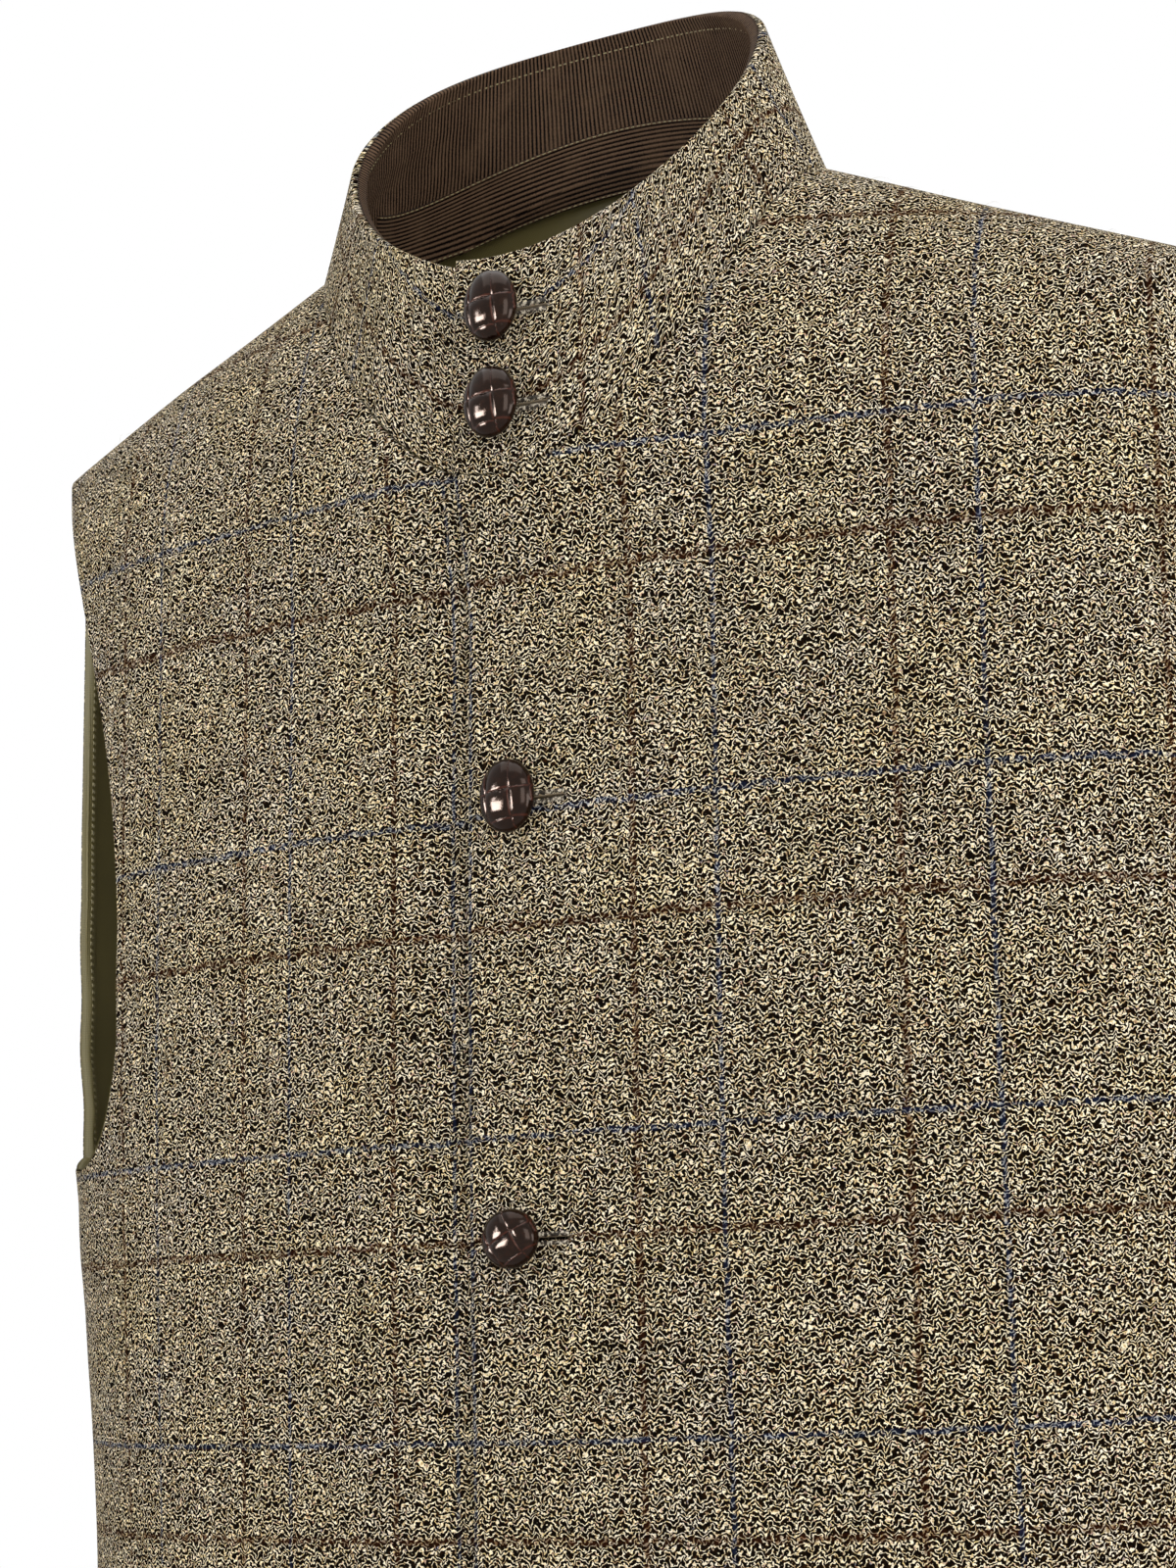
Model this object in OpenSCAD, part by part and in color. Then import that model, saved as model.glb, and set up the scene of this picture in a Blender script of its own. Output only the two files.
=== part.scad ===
// Tweed gilet with a stand collar, in its worn shape. Front faces -Y, the wearer's left is +X, hem on z = 0.

/* [Body] */
// Height of the shoulder tip above the hem
tip_z = 638; // [560:1:780]
// Height of the chest ring above the hem
chest_z = 415; // [350:1:500]
// Height of the waist ring above the hem
waist_z = 230; // [180:1:290]
// Half width at the hem
hem_half = 214; // [175:1:260]
// Half width at the waist
waist_half = 207; // [170:1:250]
// Half width at the chest
chest_half = 215; // [176:1:260]
// Half width between the shoulder tips
tip_half = 208; // [173:1:250]
// Reach of the front at the hem, forward of the origin
hem_front = 98; // [80:1:120]
// Reach of the front at the waist
waist_front = 82; // [66:1:100]
// Reach of the front at the chest
chest_front = 68; // [55:1:84]
// Reach of the front at shoulder height
tip_front = 44; // [35:1:55]
// Reach of the back at the hem
hem_back = 124; // [104:1:150]
// Reach of the back at the waist
waist_back = 114; // [95:1:138]
// Reach of the back at the chest
chest_back = 142; // [118:1:172]
// Reach of the back at shoulder height
tip_back = 122; // [100:1:148]
// Setback of the side seam
side_y = 20; // [10:1:26]
// Setback of the shoulder tip
tip_y = 12; // [6:1:20]
// Roundness of the rings, 2 is an ellipse
squareness = 2.35; // [2:0.05:2.9]

/* [Armhole] */
// Depth of the armhole below the shoulder tip
armhole_depth = 258; // [214:1:312]
// Half width of the front between the armholes
front_half = 192; // [166:1:202]
// Turn of the side seams and armholes round the body, to the wearer's left, degrees
seam_turn = 12; // [0:1:14]
// Sweep of the back edge behind the side seam, degrees
back_scoop = 2; // [0:0.5:8]
// Width of the armhole facing, as a share of the hole
facing_share = 0.18; // [0.1:0.01:0.26]

/* [Neck and collar] */
// Rise of the shoulder from its tip to the neck
shoulder_rise = 52; // [42:1:64]
// Drop of the front neck below the side neck
neck_drop = 108; // [90:1:130]
// Rise of the back neck above the side neck
back_rise = 44; // [20:1:54]
// Half width of the neck seam
neck_half = 93; // [80:1:112]
// Reach of the neck seam to the front
neck_front = 63; // [52:1:76]
// Reach of the neck seam to the back
neck_back = 62; // [50:1:75]
// Setback of the side neck point
neck_y = 10; // [2:1:18]
// Half width of the collar's top edge
collar_half = 76; // [62:1:92]
// Reach of the collar's top edge to the front
collar_front = 55; // [45:1:66]
// Reach of the collar's top edge to the back
collar_back = 50; // [40:1:60]
// Height of the collar at the front
collar_front_h = 76; // [60:1:92]
// Height of the collar at the side
collar_side_h = 43; // [34:1:52]
// Height of the collar at the back
collar_back_h = 45; // [36:1:54]
// Height of the corduroy band over the neck seam inside the back
neck_band_h = 20; // [16:1:24]
// Reach of that band below the seam at the centre back
neck_band_drop = 7; // [5:1:9]
// Rise of that band from the centre back to the shoulders
neck_band_rise = 14; // [11:1:16]

/* [Cloth] */
// Thickness of the tweed
tweed_t = 1.8; // [1.2:0.1:2.4]
// Thickness of the lining
lining_t = 0.8; // [0.5:0.1:1.2]
// Height of the lining's edge above the hem
lining_hem = 16; // [12:1:24]
// Thickness of the front facing
facing_t = 1.2; // [0.8:0.1:1.6]
// Thickness of the collar's interlining
interlining_t = 1; // [0.6:0.1:1.4]
// Thickness of the corduroy
corduroy_t = 1.4; // [1:0.1:1.8]
// Gap between layers
layer_gap = 0.4; // [0.3:0.05:0.6]
// Gap at each seam, half an angle in degrees
seam_angle = 0.2; // [0.15:0.05:0.3]
// Gap between the collar and the neck seam
seam_gap = 0.8; // [0.6:0.1:1]

/* [Front edge] */
// Reach of each front edge past the centre line
lap = 17; // [14:1:21]
// Width of the front facing from the centre line
facing_w = 45; // [38:1:60]
// Depth of the right front under the left
lap_drop = 5.6; // [5.6:0.1:7]
// Width of the step where the right front rises again
lap_step = 28; // [22:1:36]

/* [Buttons] */
// Diameter of a round button
button_d = 18.5; // [15.5:0.5:21]
// Height of an oval button
oval_h = 24; // [20:0.5:26]
// Thickness of a button
button_t = 8; // [6:0.5:10]
// Clearance between a button and the cloth
button_lift = 3; // [2.6:0.1:4]
// Inset of the collar buttons from the collar's edges
collar_inset = 21.5; // [17:0.5:25]
// Drop of the first front button below the neck seam
first_drop = 106; // [88:1:128]
// Distance between front buttons
button_pitch = 139; // [115:1:145]
// Diameter of a thread shank
shank_d = 2.4; // [1.8:0.1:3]
// Running clearance of the shank in the button
shank_clear = 0.15; // [0.1:0.05:0.3]
// Depth of the shank in the button
shank_grip = 1.6; // [1:0.1:2.4]
// Clearance between a shank and the cloth that it is sewn to
shank_seat = 0.5; // [0.4:0.05:0.7]
// Length of a buttonhole
hole_len = 21; // [18:0.5:25]
// Width of a buttonhole
hole_w = 3.2; // [2.6:0.1:4]
// Width of the buttonhole stitching
stitch_w = 1.2; // [0.8:0.1:1.8]

/* [Pockets] */
// Distance of a pocket's middle from the centre line
pocket_x = 112; // [95:1:125]
// Width of a pocket
pocket_w = 112; // [94:1:120]
// Height of the pocket's mouth above the hem
pocket_z = 190; // [165:1:198]
// Height of a pocket
pocket_h = 145; // [120:1:150]
// Depth of a pocket
pocket_d = 16; // [13:0.5:20]
// Height of the flap
flap_h = 52; // [40:1:64]
// Overhang of the flap past each side of the pocket
flap_over = 4; // [2:0.5:6]

/* [Hidden] */

// Heights that follow from the sizes above
side_neck_z = tip_z + shoulder_rise;
front_neck_z = side_neck_z - neck_drop;
back_neck_z = side_neck_z + back_rise;
underarm = 1 - armhole_depth / tip_z;
ring_z = [0, waist_z, chest_z, tip_z];

// Where each button sits: two on the collar, four on the front
button_z = [
    front_neck_z + collar_front_h - collar_inset, front_neck_z + collar_inset,
    for (i = [0 : 3]) front_neck_z - first_drop - i * button_pitch
];

// Middle of the garment from front to back, the pockets included
centre_y = (chest_back - front_at(pocket_z - pocket_h) - pocket_d) / 2;

// Shape constants of the yoke and the armhole
yoke_drop_front = neck_drop;
yoke_drop_back = 60;
yoke_round = 1;
armhole_turn = 0.37;
d_psi = 0.5;
d_t = 0.004;

// Row on which the lining starts
lining_start = lining_hem / tip_z;

// Layer depths below the outer face
lining_d = tweed_t + layer_gap;
arm_clear = 0.9 + chest_half / 145;
facing_d = lining_d + lining_t + layer_gap + arm_clear;
interlining_d = tweed_t + layer_gap - 0.1;
corduroy_d = interlining_d + interlining_t + layer_gap - 0.1;
neck_facing_d = corduroy_d + corduroy_t + layer_gap + 0.95;

// Grid counts
edge_cols = 6;
front_cols = 8;
back_cols = 20;
hem_rows = 6;
arm_rows = 11;
yoke_rows = 6;
collar_cols = 34;
collar_rows = 4;

// Colours of the cloth and the buttons
tweed = "#6f6046";
olive = "#4b4a2a";
corduroy = "#3a281c";
canvas = "#b8ad96";
leather = "#2c140d";
thread = "#2a2118";

// Smooth step from 0 at a to 1 at b
function ramp(x, a, b) = let(s = max(0, min(1, (x - a) / (b - a)))) s * s * (3 - 2 * s);

// Smooth curve through four knots
function slope(k, v, i) = let(a = max(0, i - 1), b = min(3, i + 1)) (v[b] - v[a]) / (k[b] - k[a]);
function spline(k, v, z) =
    let(i = z < k[1] ? 0 : z < k[2] ? 1 : 2, h = k[i + 1] - k[i], s = (z - k[i]) / h, r = 1 - s)
    v[i] * (1 + 2 * s) * r * r + v[i + 1] * s * s * (3 - 2 * s)
    + h * s * r * (slope(k, v, i) * r - slope(k, v, i + 1) * s);

// Rings of the body: psi is 0 at the centre front, 90 at the wearer's left, 180 at the back
function half_at(z) = spline(ring_z, [hem_half, waist_half, chest_half, tip_half], z);
function front_at(z) = spline(ring_z, [hem_front, waist_front, chest_front, tip_front], z);
function back_at(z) = spline(ring_z, [hem_back, waist_back, chest_back, tip_back], z);
function side_at(z) = spline(ring_z, [side_y, side_y, side_y, tip_y], z);
function bulge(psi) = pow(pow(abs(sin(psi)), squareness) + pow(abs(cos(psi)), squareness), -1 / squareness);
function ring(psi, z) =
    let(c = cos(psi), m = side_at(z), reach = c > 0 ? m + front_at(z) : back_at(z) - m)
    [half_at(z) * sin(psi) * bulge(psi), m - reach * c * bulge(psi) - centre_y, z];

// Neck seam
function neck(psi) =
    let(c = cos(psi), reach = c > 0 ? neck_y + neck_front : neck_back - neck_y)
    [neck_half * sin(psi), neck_y - reach * c - centre_y, side_neck_z + (c > 0 ? -neck_drop : back_rise) * c * c];

// Body surface: t runs from 0 at the hem to 1 at the yoke and 2 at the neck seam
function yoke_z(psi) = tip_z - (cos(psi) > 0 ? yoke_drop_front : yoke_drop_back) * pow(cos(psi), 2);
function yoke_bend(psi) = 1 + yoke_round * (1 - ramp(asin(min(1, abs(sin(psi)))), 30, 85));
function yoke_lean(psi) = (ring(psi, yoke_z(psi)) - ring(psi, yoke_z(psi) - 2)) / 2;
function yoke(psi, v) =
    let(
        r = ring(psi, yoke_z(psi)), n = neck(psi), bend = yoke_bend(psi), e = pow(v, bend),
        run = (n.z - r.z) * v * pow(1 - v, 2) * (bend - 1) / yoke_round, lean = yoke_lean(psi)
    )
    [r.x + (n.x - r.x) * e + lean.x * run, r.y + (n.y - r.y) * e + lean.y * run, r.z + (n.z - r.z) * v];
function body(psi, t) = t <= 1 ? ring(psi, t * yoke_z(psi)) : yoke(psi, t - 1);
function unit(v) = v / norm(v);
function body_normal(psi, t) =
    unit(cross(body(psi + d_psi, t) - body(psi - d_psi, t), body(psi, t + d_t) - body(psi, t - d_t)));
function seam_normal(psi) = unit(body_normal(psi, 2) + collar_normal(psi, 0));
function skin(psi, t, d) =
    let(n = t == 2 ? seam_normal(psi) : body_normal(psi, t), p = body(psi, t) - d * n)
    [p.x, p.y, t == 0 ? 0 : p.z];

// Angle on row t at which the body is x from the centre line
function row_half(t) =
    t <= 1 ? half_at(t * yoke_z(0))
    : let(e = pow(t - 1, 1 + yoke_round)) half_at(yoke_z(0)) * (1 - e) + neck_half * e;
function angle_at(x, half) =
    let(k = pow(abs(x) / half, squareness)) sign(x) * atan(pow(k / (1 - k), 1 / squareness));
function row_angle(x, t) =
    let(low = angle_at(x, row_half(t)), high = asin(x / row_half(t)))
    t <= 1 ? low : low + (high - low) * (t - 1);

// Armhole edge on the front, and the edge of the back
armhole_angle = angle_at(front_half, chest_half);
function armhole_bow(w) =
    w < armhole_turn ? pow(1 - pow(1 - w / armhole_turn, 3.2), 1 / 2.6)
    : pow(1 - pow((w - armhole_turn) / (1 - armhole_turn), 2.2), 1 / 2.3);
function armhole_w(t) = max(0, min(1, (t - underarm) / (1 - underarm)));
function side_seam(t, turn) = 90 + turn * (1 - pow(armhole_w(t), 2));
function front_side(t, turn) =
    let(side = side_seam(t, turn))
    t <= underarm || t >= 1 ? side : side - (side - armhole_angle - turn) * armhole_bow(armhole_w(t));
function back_side(t, turn) = side_seam(t, turn) + back_scoop * sin(180 * armhole_w(t));

// Rows from the hem, or from above it, to the neck seam, closer together at both ends of the armhole
function rows(start = 0) = [
    start,
    for (i = [1 : hem_rows - 1]) underarm * i / hem_rows,
    for (i = [0 : arm_rows - 1]) underarm + (1 - underarm) * (1 - cos(180 * i / arm_rows)) / 2,
    for (i = [0 : yoke_rows]) 1 + i / yoke_rows
];

// How far a piece of the right front lies below the left front, x from the centre line
function drop(x) = lap_drop * (1 - ramp(x, lap + 3, lap + 3 + lap_step));

// Collar surface: s runs from 0 at the neck seam to 1 at the top edge
function collar_top(psi) =
    let(
        f = front_neck_z + collar_front_h, m = side_neck_z + collar_side_h, b = back_neck_z + collar_back_h,
        z = (f + b) / 4 + m / 2 + (f - b) / 2 * cos(psi) + ((f + b) / 4 - m / 2) * cos(2 * psi)
    )
    [
        collar_half * sin(psi),
        (collar_back - collar_front) / 2 - (collar_back + collar_front) / 2 * cos(psi) - centre_y,
        z
    ];
function collar(psi, s) =
    let(a = neck(psi), b = collar_top(psi), up = unit(b - a), low = a + seam_gap * up)
    low + (b - low) * s;
function collar_normal(psi, s) =
    unit(cross(collar(psi + d_psi, s) - collar(psi - d_psi, s), collar_top(psi) - neck(psi)));
function collar_skin(psi, s, d) = collar(psi, s) - d * (s == 0 ? seam_normal(psi) : collar_normal(psi, s));
function collar_angle(x, s) = asin(x / (neck_half * (1 - s) + collar_half * s));
function collar_x(psi, s) = -(neck_half * (1 - s) + collar_half * s) * sin(psi);
function collar_drop(psi, s) = psi > 270 ? drop(collar_x(psi, s)) : 0;

// Closed shell between an outer and an inner grid of points
module shell(outer, inner) {
    n = len(outer);
    m = len(outer[0]);
    points = concat([for (r = outer) each r], [for (r = inner) each r]);
    function a(i, j) = i * m + j;
    function b(i, j) = n * m + i * m + j;
    faces = [
        for (i = [0 : n - 2], j = [0 : m - 2]) each [
            [a(i, j), a(i + 1, j), a(i + 1, j + 1)], [a(i, j), a(i + 1, j + 1), a(i, j + 1)],
            [b(i, j), b(i + 1, j + 1), b(i + 1, j)], [b(i, j), b(i, j + 1), b(i + 1, j + 1)]
        ],
        for (i = [0 : n - 2]) each [
            [a(i, 0), b(i, 0), b(i + 1, 0)], [a(i, 0), b(i + 1, 0), a(i + 1, 0)],
            [a(i, m - 1), b(i + 1, m - 1), b(i, m - 1)], [a(i, m - 1), a(i + 1, m - 1), b(i + 1, m - 1)]
        ],
        for (j = [0 : m - 2]) each [
            [a(0, j), b(0, j + 1), b(0, j)], [a(0, j), a(0, j + 1), b(0, j + 1)],
            [a(n - 1, j), b(n - 1, j), b(n - 1, j + 1)], [a(n - 1, j), b(n - 1, j + 1), a(n - 1, j + 1)]
        ]
    ];
    polyhedron(points, faces, convexity = 8);
}

// Columns of a front: the edge strip from the front edge to the facing's inner edge, then on to the side
function edge_angles(t) = [for (j = [0 : edge_cols]) row_angle(-lap + (lap + facing_w) * j / edge_cols, t)];
function side_angles(t, x, turn) =
    let(a = row_angle(x, t), b = front_side(t, turn) - seam_angle)
    [for (j = [0 : front_cols]) a + (b - a) * j / front_cols];
function front_angles(t, turn) =
    concat(edge_angles(t), [for (j = [1 : front_cols]) side_angles(t, facing_w, turn)[j]]);
function strip_angles(strip, t, turn) =
    strip == "edge" ? edge_angles(t)
    : strip == "side" ? side_angles(t, facing_w + layer_gap, turn)
    : front_angles(t, turn);
function front_grid(d, under, strip, start) = [
    for (t = rows(start)) [
        for (psi = strip_angles(strip, t, under ? -seam_turn : seam_turn))
            skin(psi, t, d + (under ? drop(body(psi, t).x) : 0))
    ]
];
module front_piece(d, thick, under, strip = "whole", start = 0) {
    shell(front_grid(d, under, strip, start), front_grid(d + thick, under, strip, start));
}

function back_grid(d, start) = [
    for (t = rows(start)) [
        for (j = [0 : back_cols])
            let(a = back_side(t, seam_turn) + seam_angle, b = 360 - back_side(t, -seam_turn) - seam_angle)
            skin(a + (b - a) * j / back_cols, t, d)
    ]
];
module back_piece(d, thick, start = 0) {
    shell(back_grid(d, start), back_grid(d + thick, start));
}

// Strip round the armhole, open at the shoulder tip
arm_steps = 36;
arm_top = 0.95;
arm_mid = (1 + underarm) / 2;
function arm_psi(turn) = (armhole_angle + turn + side_seam(arm_mid, turn)) / 2;
function armhole_loop(q, turn) =
    let(w = arm_top * (1 + cos(180 * q)) / 2, t = underarm + (1 - underarm) * w)
    q < 1 ? [front_side(t, turn), t] : [back_side(t, turn), t];
function armhole_grid(d, turn) = [
    for (k = [1.01, 1 + facing_share / 2, 1 + facing_share]) [
        for (i = [0 : arm_steps])
            let(e = armhole_loop(2 * i / arm_steps, turn), middle = arm_psi(turn))
            skin(middle + k * (e[0] - middle), arm_mid + k * (e[1] - arm_mid), d)
    ]
];
module armhole_facing(turn) {
    shell(armhole_grid(facing_d + lining_t, turn), armhole_grid(facing_d, turn));
}

function collar_ends(s) = [for (j = [0 : edge_cols]) collar_angle(-lap + (lap + facing_w) * j / edge_cols, s)];
function collar_angles(s) =
    let(e = collar_ends(s), a = e[edge_cols])
    concat(
        e, [for (j = [1 : collar_cols - 1]) a + (360 - 2 * a) * j / collar_cols],
        [for (j = [0 : edge_cols]) 360 - e[edge_cols - j]]
    );
function collar_grid(d) = [
    for (i = [0 : collar_rows])
        let(s = i / collar_rows) [for (psi = collar_angles(s)) collar_skin(psi, s, d + collar_drop(psi, s))]
];
module collar_piece(d, thick) {
    shell(collar_grid(d), collar_grid(d + thick));
}

// Corduroy band over the neck seam inside the back: h is the height above the seam
band_rows = 6;
band_cols = 24;
band_psi = 80;
function band_low(psi) = neck_band_rise * pow(sin(psi), 2) - neck_band_drop;
function band_point(psi, h, d) =
    h > 0 ? collar_skin(psi, h / norm(collar_top(psi) - neck(psi)), d)
    : skin(psi, 2 + 0.1 * h / norm(yoke(psi, 1) - yoke(psi, 0.9)), d);
function neck_facing_grid(d) = [
    for (k = [0 : band_rows]) [
        for (j = [0 : band_cols])
            let(psi = 180 + band_psi * (2 * j / band_cols - 1))
            band_point(psi, band_low(psi) + neck_band_h * k / band_rows, d)
    ]
];

// Which buttons are on the collar, and which are oval
function on_collar(i) = i < 2;
function oval(i) = i < 3;
function collar_s(i) = (button_z[i] - front_neck_z) / collar_front_h;
function button_point(i) = on_collar(i) ? collar(0, collar_s(i)) : ring(0, button_z[i]);
function button_normal(i) =
    on_collar(i) ? collar_normal(0, collar_s(i)) : body_normal(0, button_z[i] / yoke_z(0));

// Local frame of a button, +Z out of the cloth
module at_button(i) {
    n = button_normal(i);
    translate(button_point(i)) rotate([atan2(-n.y, n.z), 0, 0]) children();
}

// Slot with round ends, from just before the shank to the end of the buttonhole
hole_start = -hole_w / 2 - 2;
module slot(w, len, thick) {
    translate([0, -w / 2, 0]) cube([len, w, thick]);
    cylinder(d = w, h = thick, $fn = 32);
    translate([len, 0, 0]) cylinder(d = w, h = thick, $fn = 32);
}
module buttonholes(first, last) {
    depth = lap_drop + 2;
    for (i = [first : last])
        at_button(i) translate([hole_start + hole_w / 2, 0, -depth]) slot(hole_w, hole_len - hole_w, 2 * depth);
}

module front_left() {
    color(tweed) difference() {
        front_piece(0, tweed_t, false);
        buttonholes(2, 5);
    }
}
module front_right() {
    color(tweed) mirror([1, 0, 0]) front_piece(0, tweed_t, true);
}
module back_panel() {
    color(tweed) back_piece(0, tweed_t);
}
module front_facing_left() {
    color(tweed) difference() {
        front_piece(lining_d, facing_t, false, "edge");
        buttonholes(2, 5);
    }
}
module front_facing_right() {
    color(tweed) mirror([1, 0, 0]) front_piece(lining_d, facing_t, true, "edge");
}
module lining_front_left() {
    color(olive) front_piece(lining_d, lining_t, false, "side", lining_start);
}
module lining_front_right() {
    color(olive) mirror([1, 0, 0]) front_piece(lining_d, lining_t, true, "side", lining_start);
}
module lining_back() {
    color(olive) back_piece(lining_d, lining_t, lining_start);
}
module armhole_facing_left() {
    color(olive) armhole_facing(seam_turn);
}
module armhole_facing_right() {
    color(olive) mirror([1, 0, 0]) armhole_facing(-seam_turn);
}
module collar_outer() {
    color(tweed) difference() {
        collar_piece(0, tweed_t);
        buttonholes(0, 1);
    }
}
module collar_interlining() {
    color(canvas) difference() {
        collar_piece(interlining_d, interlining_t);
        buttonholes(0, 1);
    }
}
module collar_facing() {
    color(corduroy) difference() {
        collar_piece(corduroy_d, corduroy_t);
        buttonholes(0, 1);
    }
}
module back_neck_facing() {
    color(corduroy) shell(neck_facing_grid(neck_facing_d), neck_facing_grid(neck_facing_d + corduroy_t));
}

// Patch pocket: a shallow tray, open at the top, with its rim on the cloth
pocket_cols = 8;
pocket_rows = 5;
pocket_clear = 0.5;
function pocket_angle(x, z) = angle_at(x, half_at(z));
function on_front(x, z, lift) = skin(pocket_angle(x, z), z / yoke_z(pocket_angle(x, z)), -lift);
function spread(n, inset, len) = concat([0], [for (i = [0 : n]) inset + (len - 2 * inset) * i / n], [len]);
function pocket_grid(inset, lift) =
    let(xs = spread(pocket_cols, 0.01, pocket_w - 2 * inset))
    [for (k = [-1 : pocket_rows]) [
        for (j = [0 : len(xs) - 1])
            let(
                rim = k < 0 || j == 0 || j == len(xs) - 1,
                z = pocket_z - pocket_h + inset + (pocket_h - inset) * max(0, k) / pocket_rows,
                x = pocket_x - pocket_w / 2 + inset + xs[j]
            )
            on_front(x, z - (k < 0 ? 0.01 : 0), rim ? pocket_clear : lift)
    ]];
module pocket() {
    shell(pocket_grid(0, pocket_d), pocket_grid(tweed_t, pocket_d - tweed_t));
}
module pocket_left() {
    color(tweed) pocket();
}
module pocket_right() {
    color(tweed) mirror([1, 0, 0]) pocket();
}

// Flap that hangs over the pocket's mouth from a line of stitching above it
flap_clear = 0.9;
flap_rise = 20;
flap_z = pocket_z + flap_rise;
flap_bend_z = pocket_z + 2;
flap_heights = concat(
    [for (k = [0 : 3]) flap_z - flap_h + (flap_bend_z - flap_z + flap_h) * k / 3],
    [for (k = [1 : 3]) flap_bend_z + (flap_z - flap_bend_z) * k / 3]
);
function flap_lift(z) = pocket_clear + (pocket_d + flap_clear - pocket_clear) * (1 - ramp(z, flap_bend_z, flap_z));
function flap_grid(lift) = [
    for (z = flap_heights) [
        for (j = [0 : pocket_cols])
            on_front(pocket_x + (pocket_w / 2 + flap_over) * (2 * j / pocket_cols - 1), z, lift + flap_lift(z))
    ]
];
module pocket_flap() {
    shell(flap_grid(tweed_t), flap_grid(0));
}
module pocket_flap_left() {
    color(tweed) pocket_flap();
}
module pocket_flap_right() {
    color(tweed) mirror([1, 0, 0]) pocket_flap();
}

// Raised edging sewn round each buttonhole
stitch_lift = 0.15;
stitch_t = 0.5;
module buttonhole_stitching() {
    color(thread) for (i = [0 : 5]) at_button(i) translate([hole_start + hole_w / 2, 0, stitch_lift])
        difference() {
            slot(hole_w + 2 * stitch_w, hole_len - hole_w, stitch_t);
            translate([0, 0, -1]) slot(hole_w, hole_len - hole_w, stitch_t + 2);
        }
}

// Profile of a button as shares of its radius and thickness
button_profile = [[0.72, 0], [0.93, 0.14], [1, 0.34], [0.95, 0.55], [0.78, 0.78], [0.5, 0.93]];

// Oval dome, rx and ry across
module oval_dome(rx, ry, sides = 24) {
    n = len(button_profile);
    points = concat(
        [for (p = button_profile, k = [0 : sides - 1])
            let(a = 360 * k / sides) [rx * p[0] * cos(a), ry * p[0] * sin(a), button_t * p[1]]],
        [[0, 0, 0], [0, 0, button_t]]
    );
    function at(i, k) = i * sides + k % sides;
    faces = [
        for (k = [0 : sides - 1]) each [
            [n * sides, at(0, k), at(0, k + 1)], [n * sides + 1, at(n - 1, k + 1), at(n - 1, k)]
        ],
        for (i = [0 : n - 2], k = [0 : sides - 1]) each [
            [at(i, k), at(i + 1, k), at(i + 1, k + 1)], [at(i, k), at(i + 1, k + 1), at(i, k + 1)]
        ]
    ];
    polyhedron(points, faces);
}

// Round dome on the same profile
module round_dome(r) {
    outline = concat([[0, 0]], [for (p = button_profile) [r * p[0], button_t * p[1]]], [[0, button_t]]);
    rotate_extrude($fn = 40) polygon(outline);
}

// Domed button with a socket for its shank
module button(i) {
    color(leather) at_button(i) translate([0, 0, button_lift]) difference() {
        if (oval(i)) oval_dome(button_d / 2, oval_h / 2);
        else round_dome(button_d / 2);
        translate([0, 0, -1]) cylinder(d = shank_d + 2 * shank_clear, h = 1 + shank_grip + shank_clear, $fn = 32);
    }
}

// Thread shank from the right front, through the buttonhole, into the button
module button_shank(i) {
    low = -lap_drop + shank_seat;
    color(thread) at_button(i) translate([0, 0, low])
        cylinder(d = shank_d, h = button_lift + shank_grip - low, $fn = 32);
}

front_left();
front_right();
back_panel();
front_facing_left();
front_facing_right();
lining_front_left();
lining_front_right();
lining_back();
armhole_facing_left();
armhole_facing_right();
collar_outer();
collar_interlining();
collar_facing();
back_neck_facing();
pocket_left();
pocket_right();
pocket_flap_left();
pocket_flap_right();
buttonhole_stitching();
for (i = [0 : 5]) {
    button(i);
    button_shank(i);
}
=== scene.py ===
"""Looks of a tweed gilet with a stand collar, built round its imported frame.

Sizes are in metres, angles in degrees.
"""

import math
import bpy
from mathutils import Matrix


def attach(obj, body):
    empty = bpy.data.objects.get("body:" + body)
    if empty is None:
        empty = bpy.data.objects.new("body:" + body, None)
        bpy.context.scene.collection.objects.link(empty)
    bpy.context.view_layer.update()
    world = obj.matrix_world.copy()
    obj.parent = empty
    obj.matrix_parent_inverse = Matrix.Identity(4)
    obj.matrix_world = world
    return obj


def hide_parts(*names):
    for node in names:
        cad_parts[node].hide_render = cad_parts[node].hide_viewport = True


bl_info = {
    "name": "Tweed Gilet",
    "version": (1, 0, 0),
    "blender": (4, 5, 0),
    "location": "View3D > Sidebar > Gilet",
    "description": "Cloth, collar, pockets, buttons and studio of a tweed gilet",
    "category": "Add Mesh",
}

import bpy
import numpy as np
from mathutils import Matrix, Vector

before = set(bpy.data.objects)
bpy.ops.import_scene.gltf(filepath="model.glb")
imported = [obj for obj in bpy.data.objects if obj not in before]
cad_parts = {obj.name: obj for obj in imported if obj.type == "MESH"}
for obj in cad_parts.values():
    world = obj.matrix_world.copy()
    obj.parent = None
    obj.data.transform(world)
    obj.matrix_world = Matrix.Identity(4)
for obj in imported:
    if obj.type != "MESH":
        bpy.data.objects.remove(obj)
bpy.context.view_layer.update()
GARMENT = "gilet"
SIDES = (("left", 1), ("right", -1))
BUTTONS = range(1, 7)
COLLAR_BUTTONS = (1, 2)
OVAL_BUTTONS = (1, 2, 3)

# Where a rolled edge has its columns, as shares of the roll's radius
ROLL = np.array((0.0, 0.08, 0.3, 0.65, 1.0))
ANGLE_STEP = 0.5
ROW_STEP = 0.004


def length(name, value, text):
    """A size in metres that a user can change."""
    return bpy.props.FloatProperty(name=name, description=text, default=value, unit="LENGTH", precision=4)


def number(name, value, text):
    """A plain number that a user can change."""
    return bpy.props.FloatProperty(name=name, description=text, default=value, precision=3)


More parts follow.
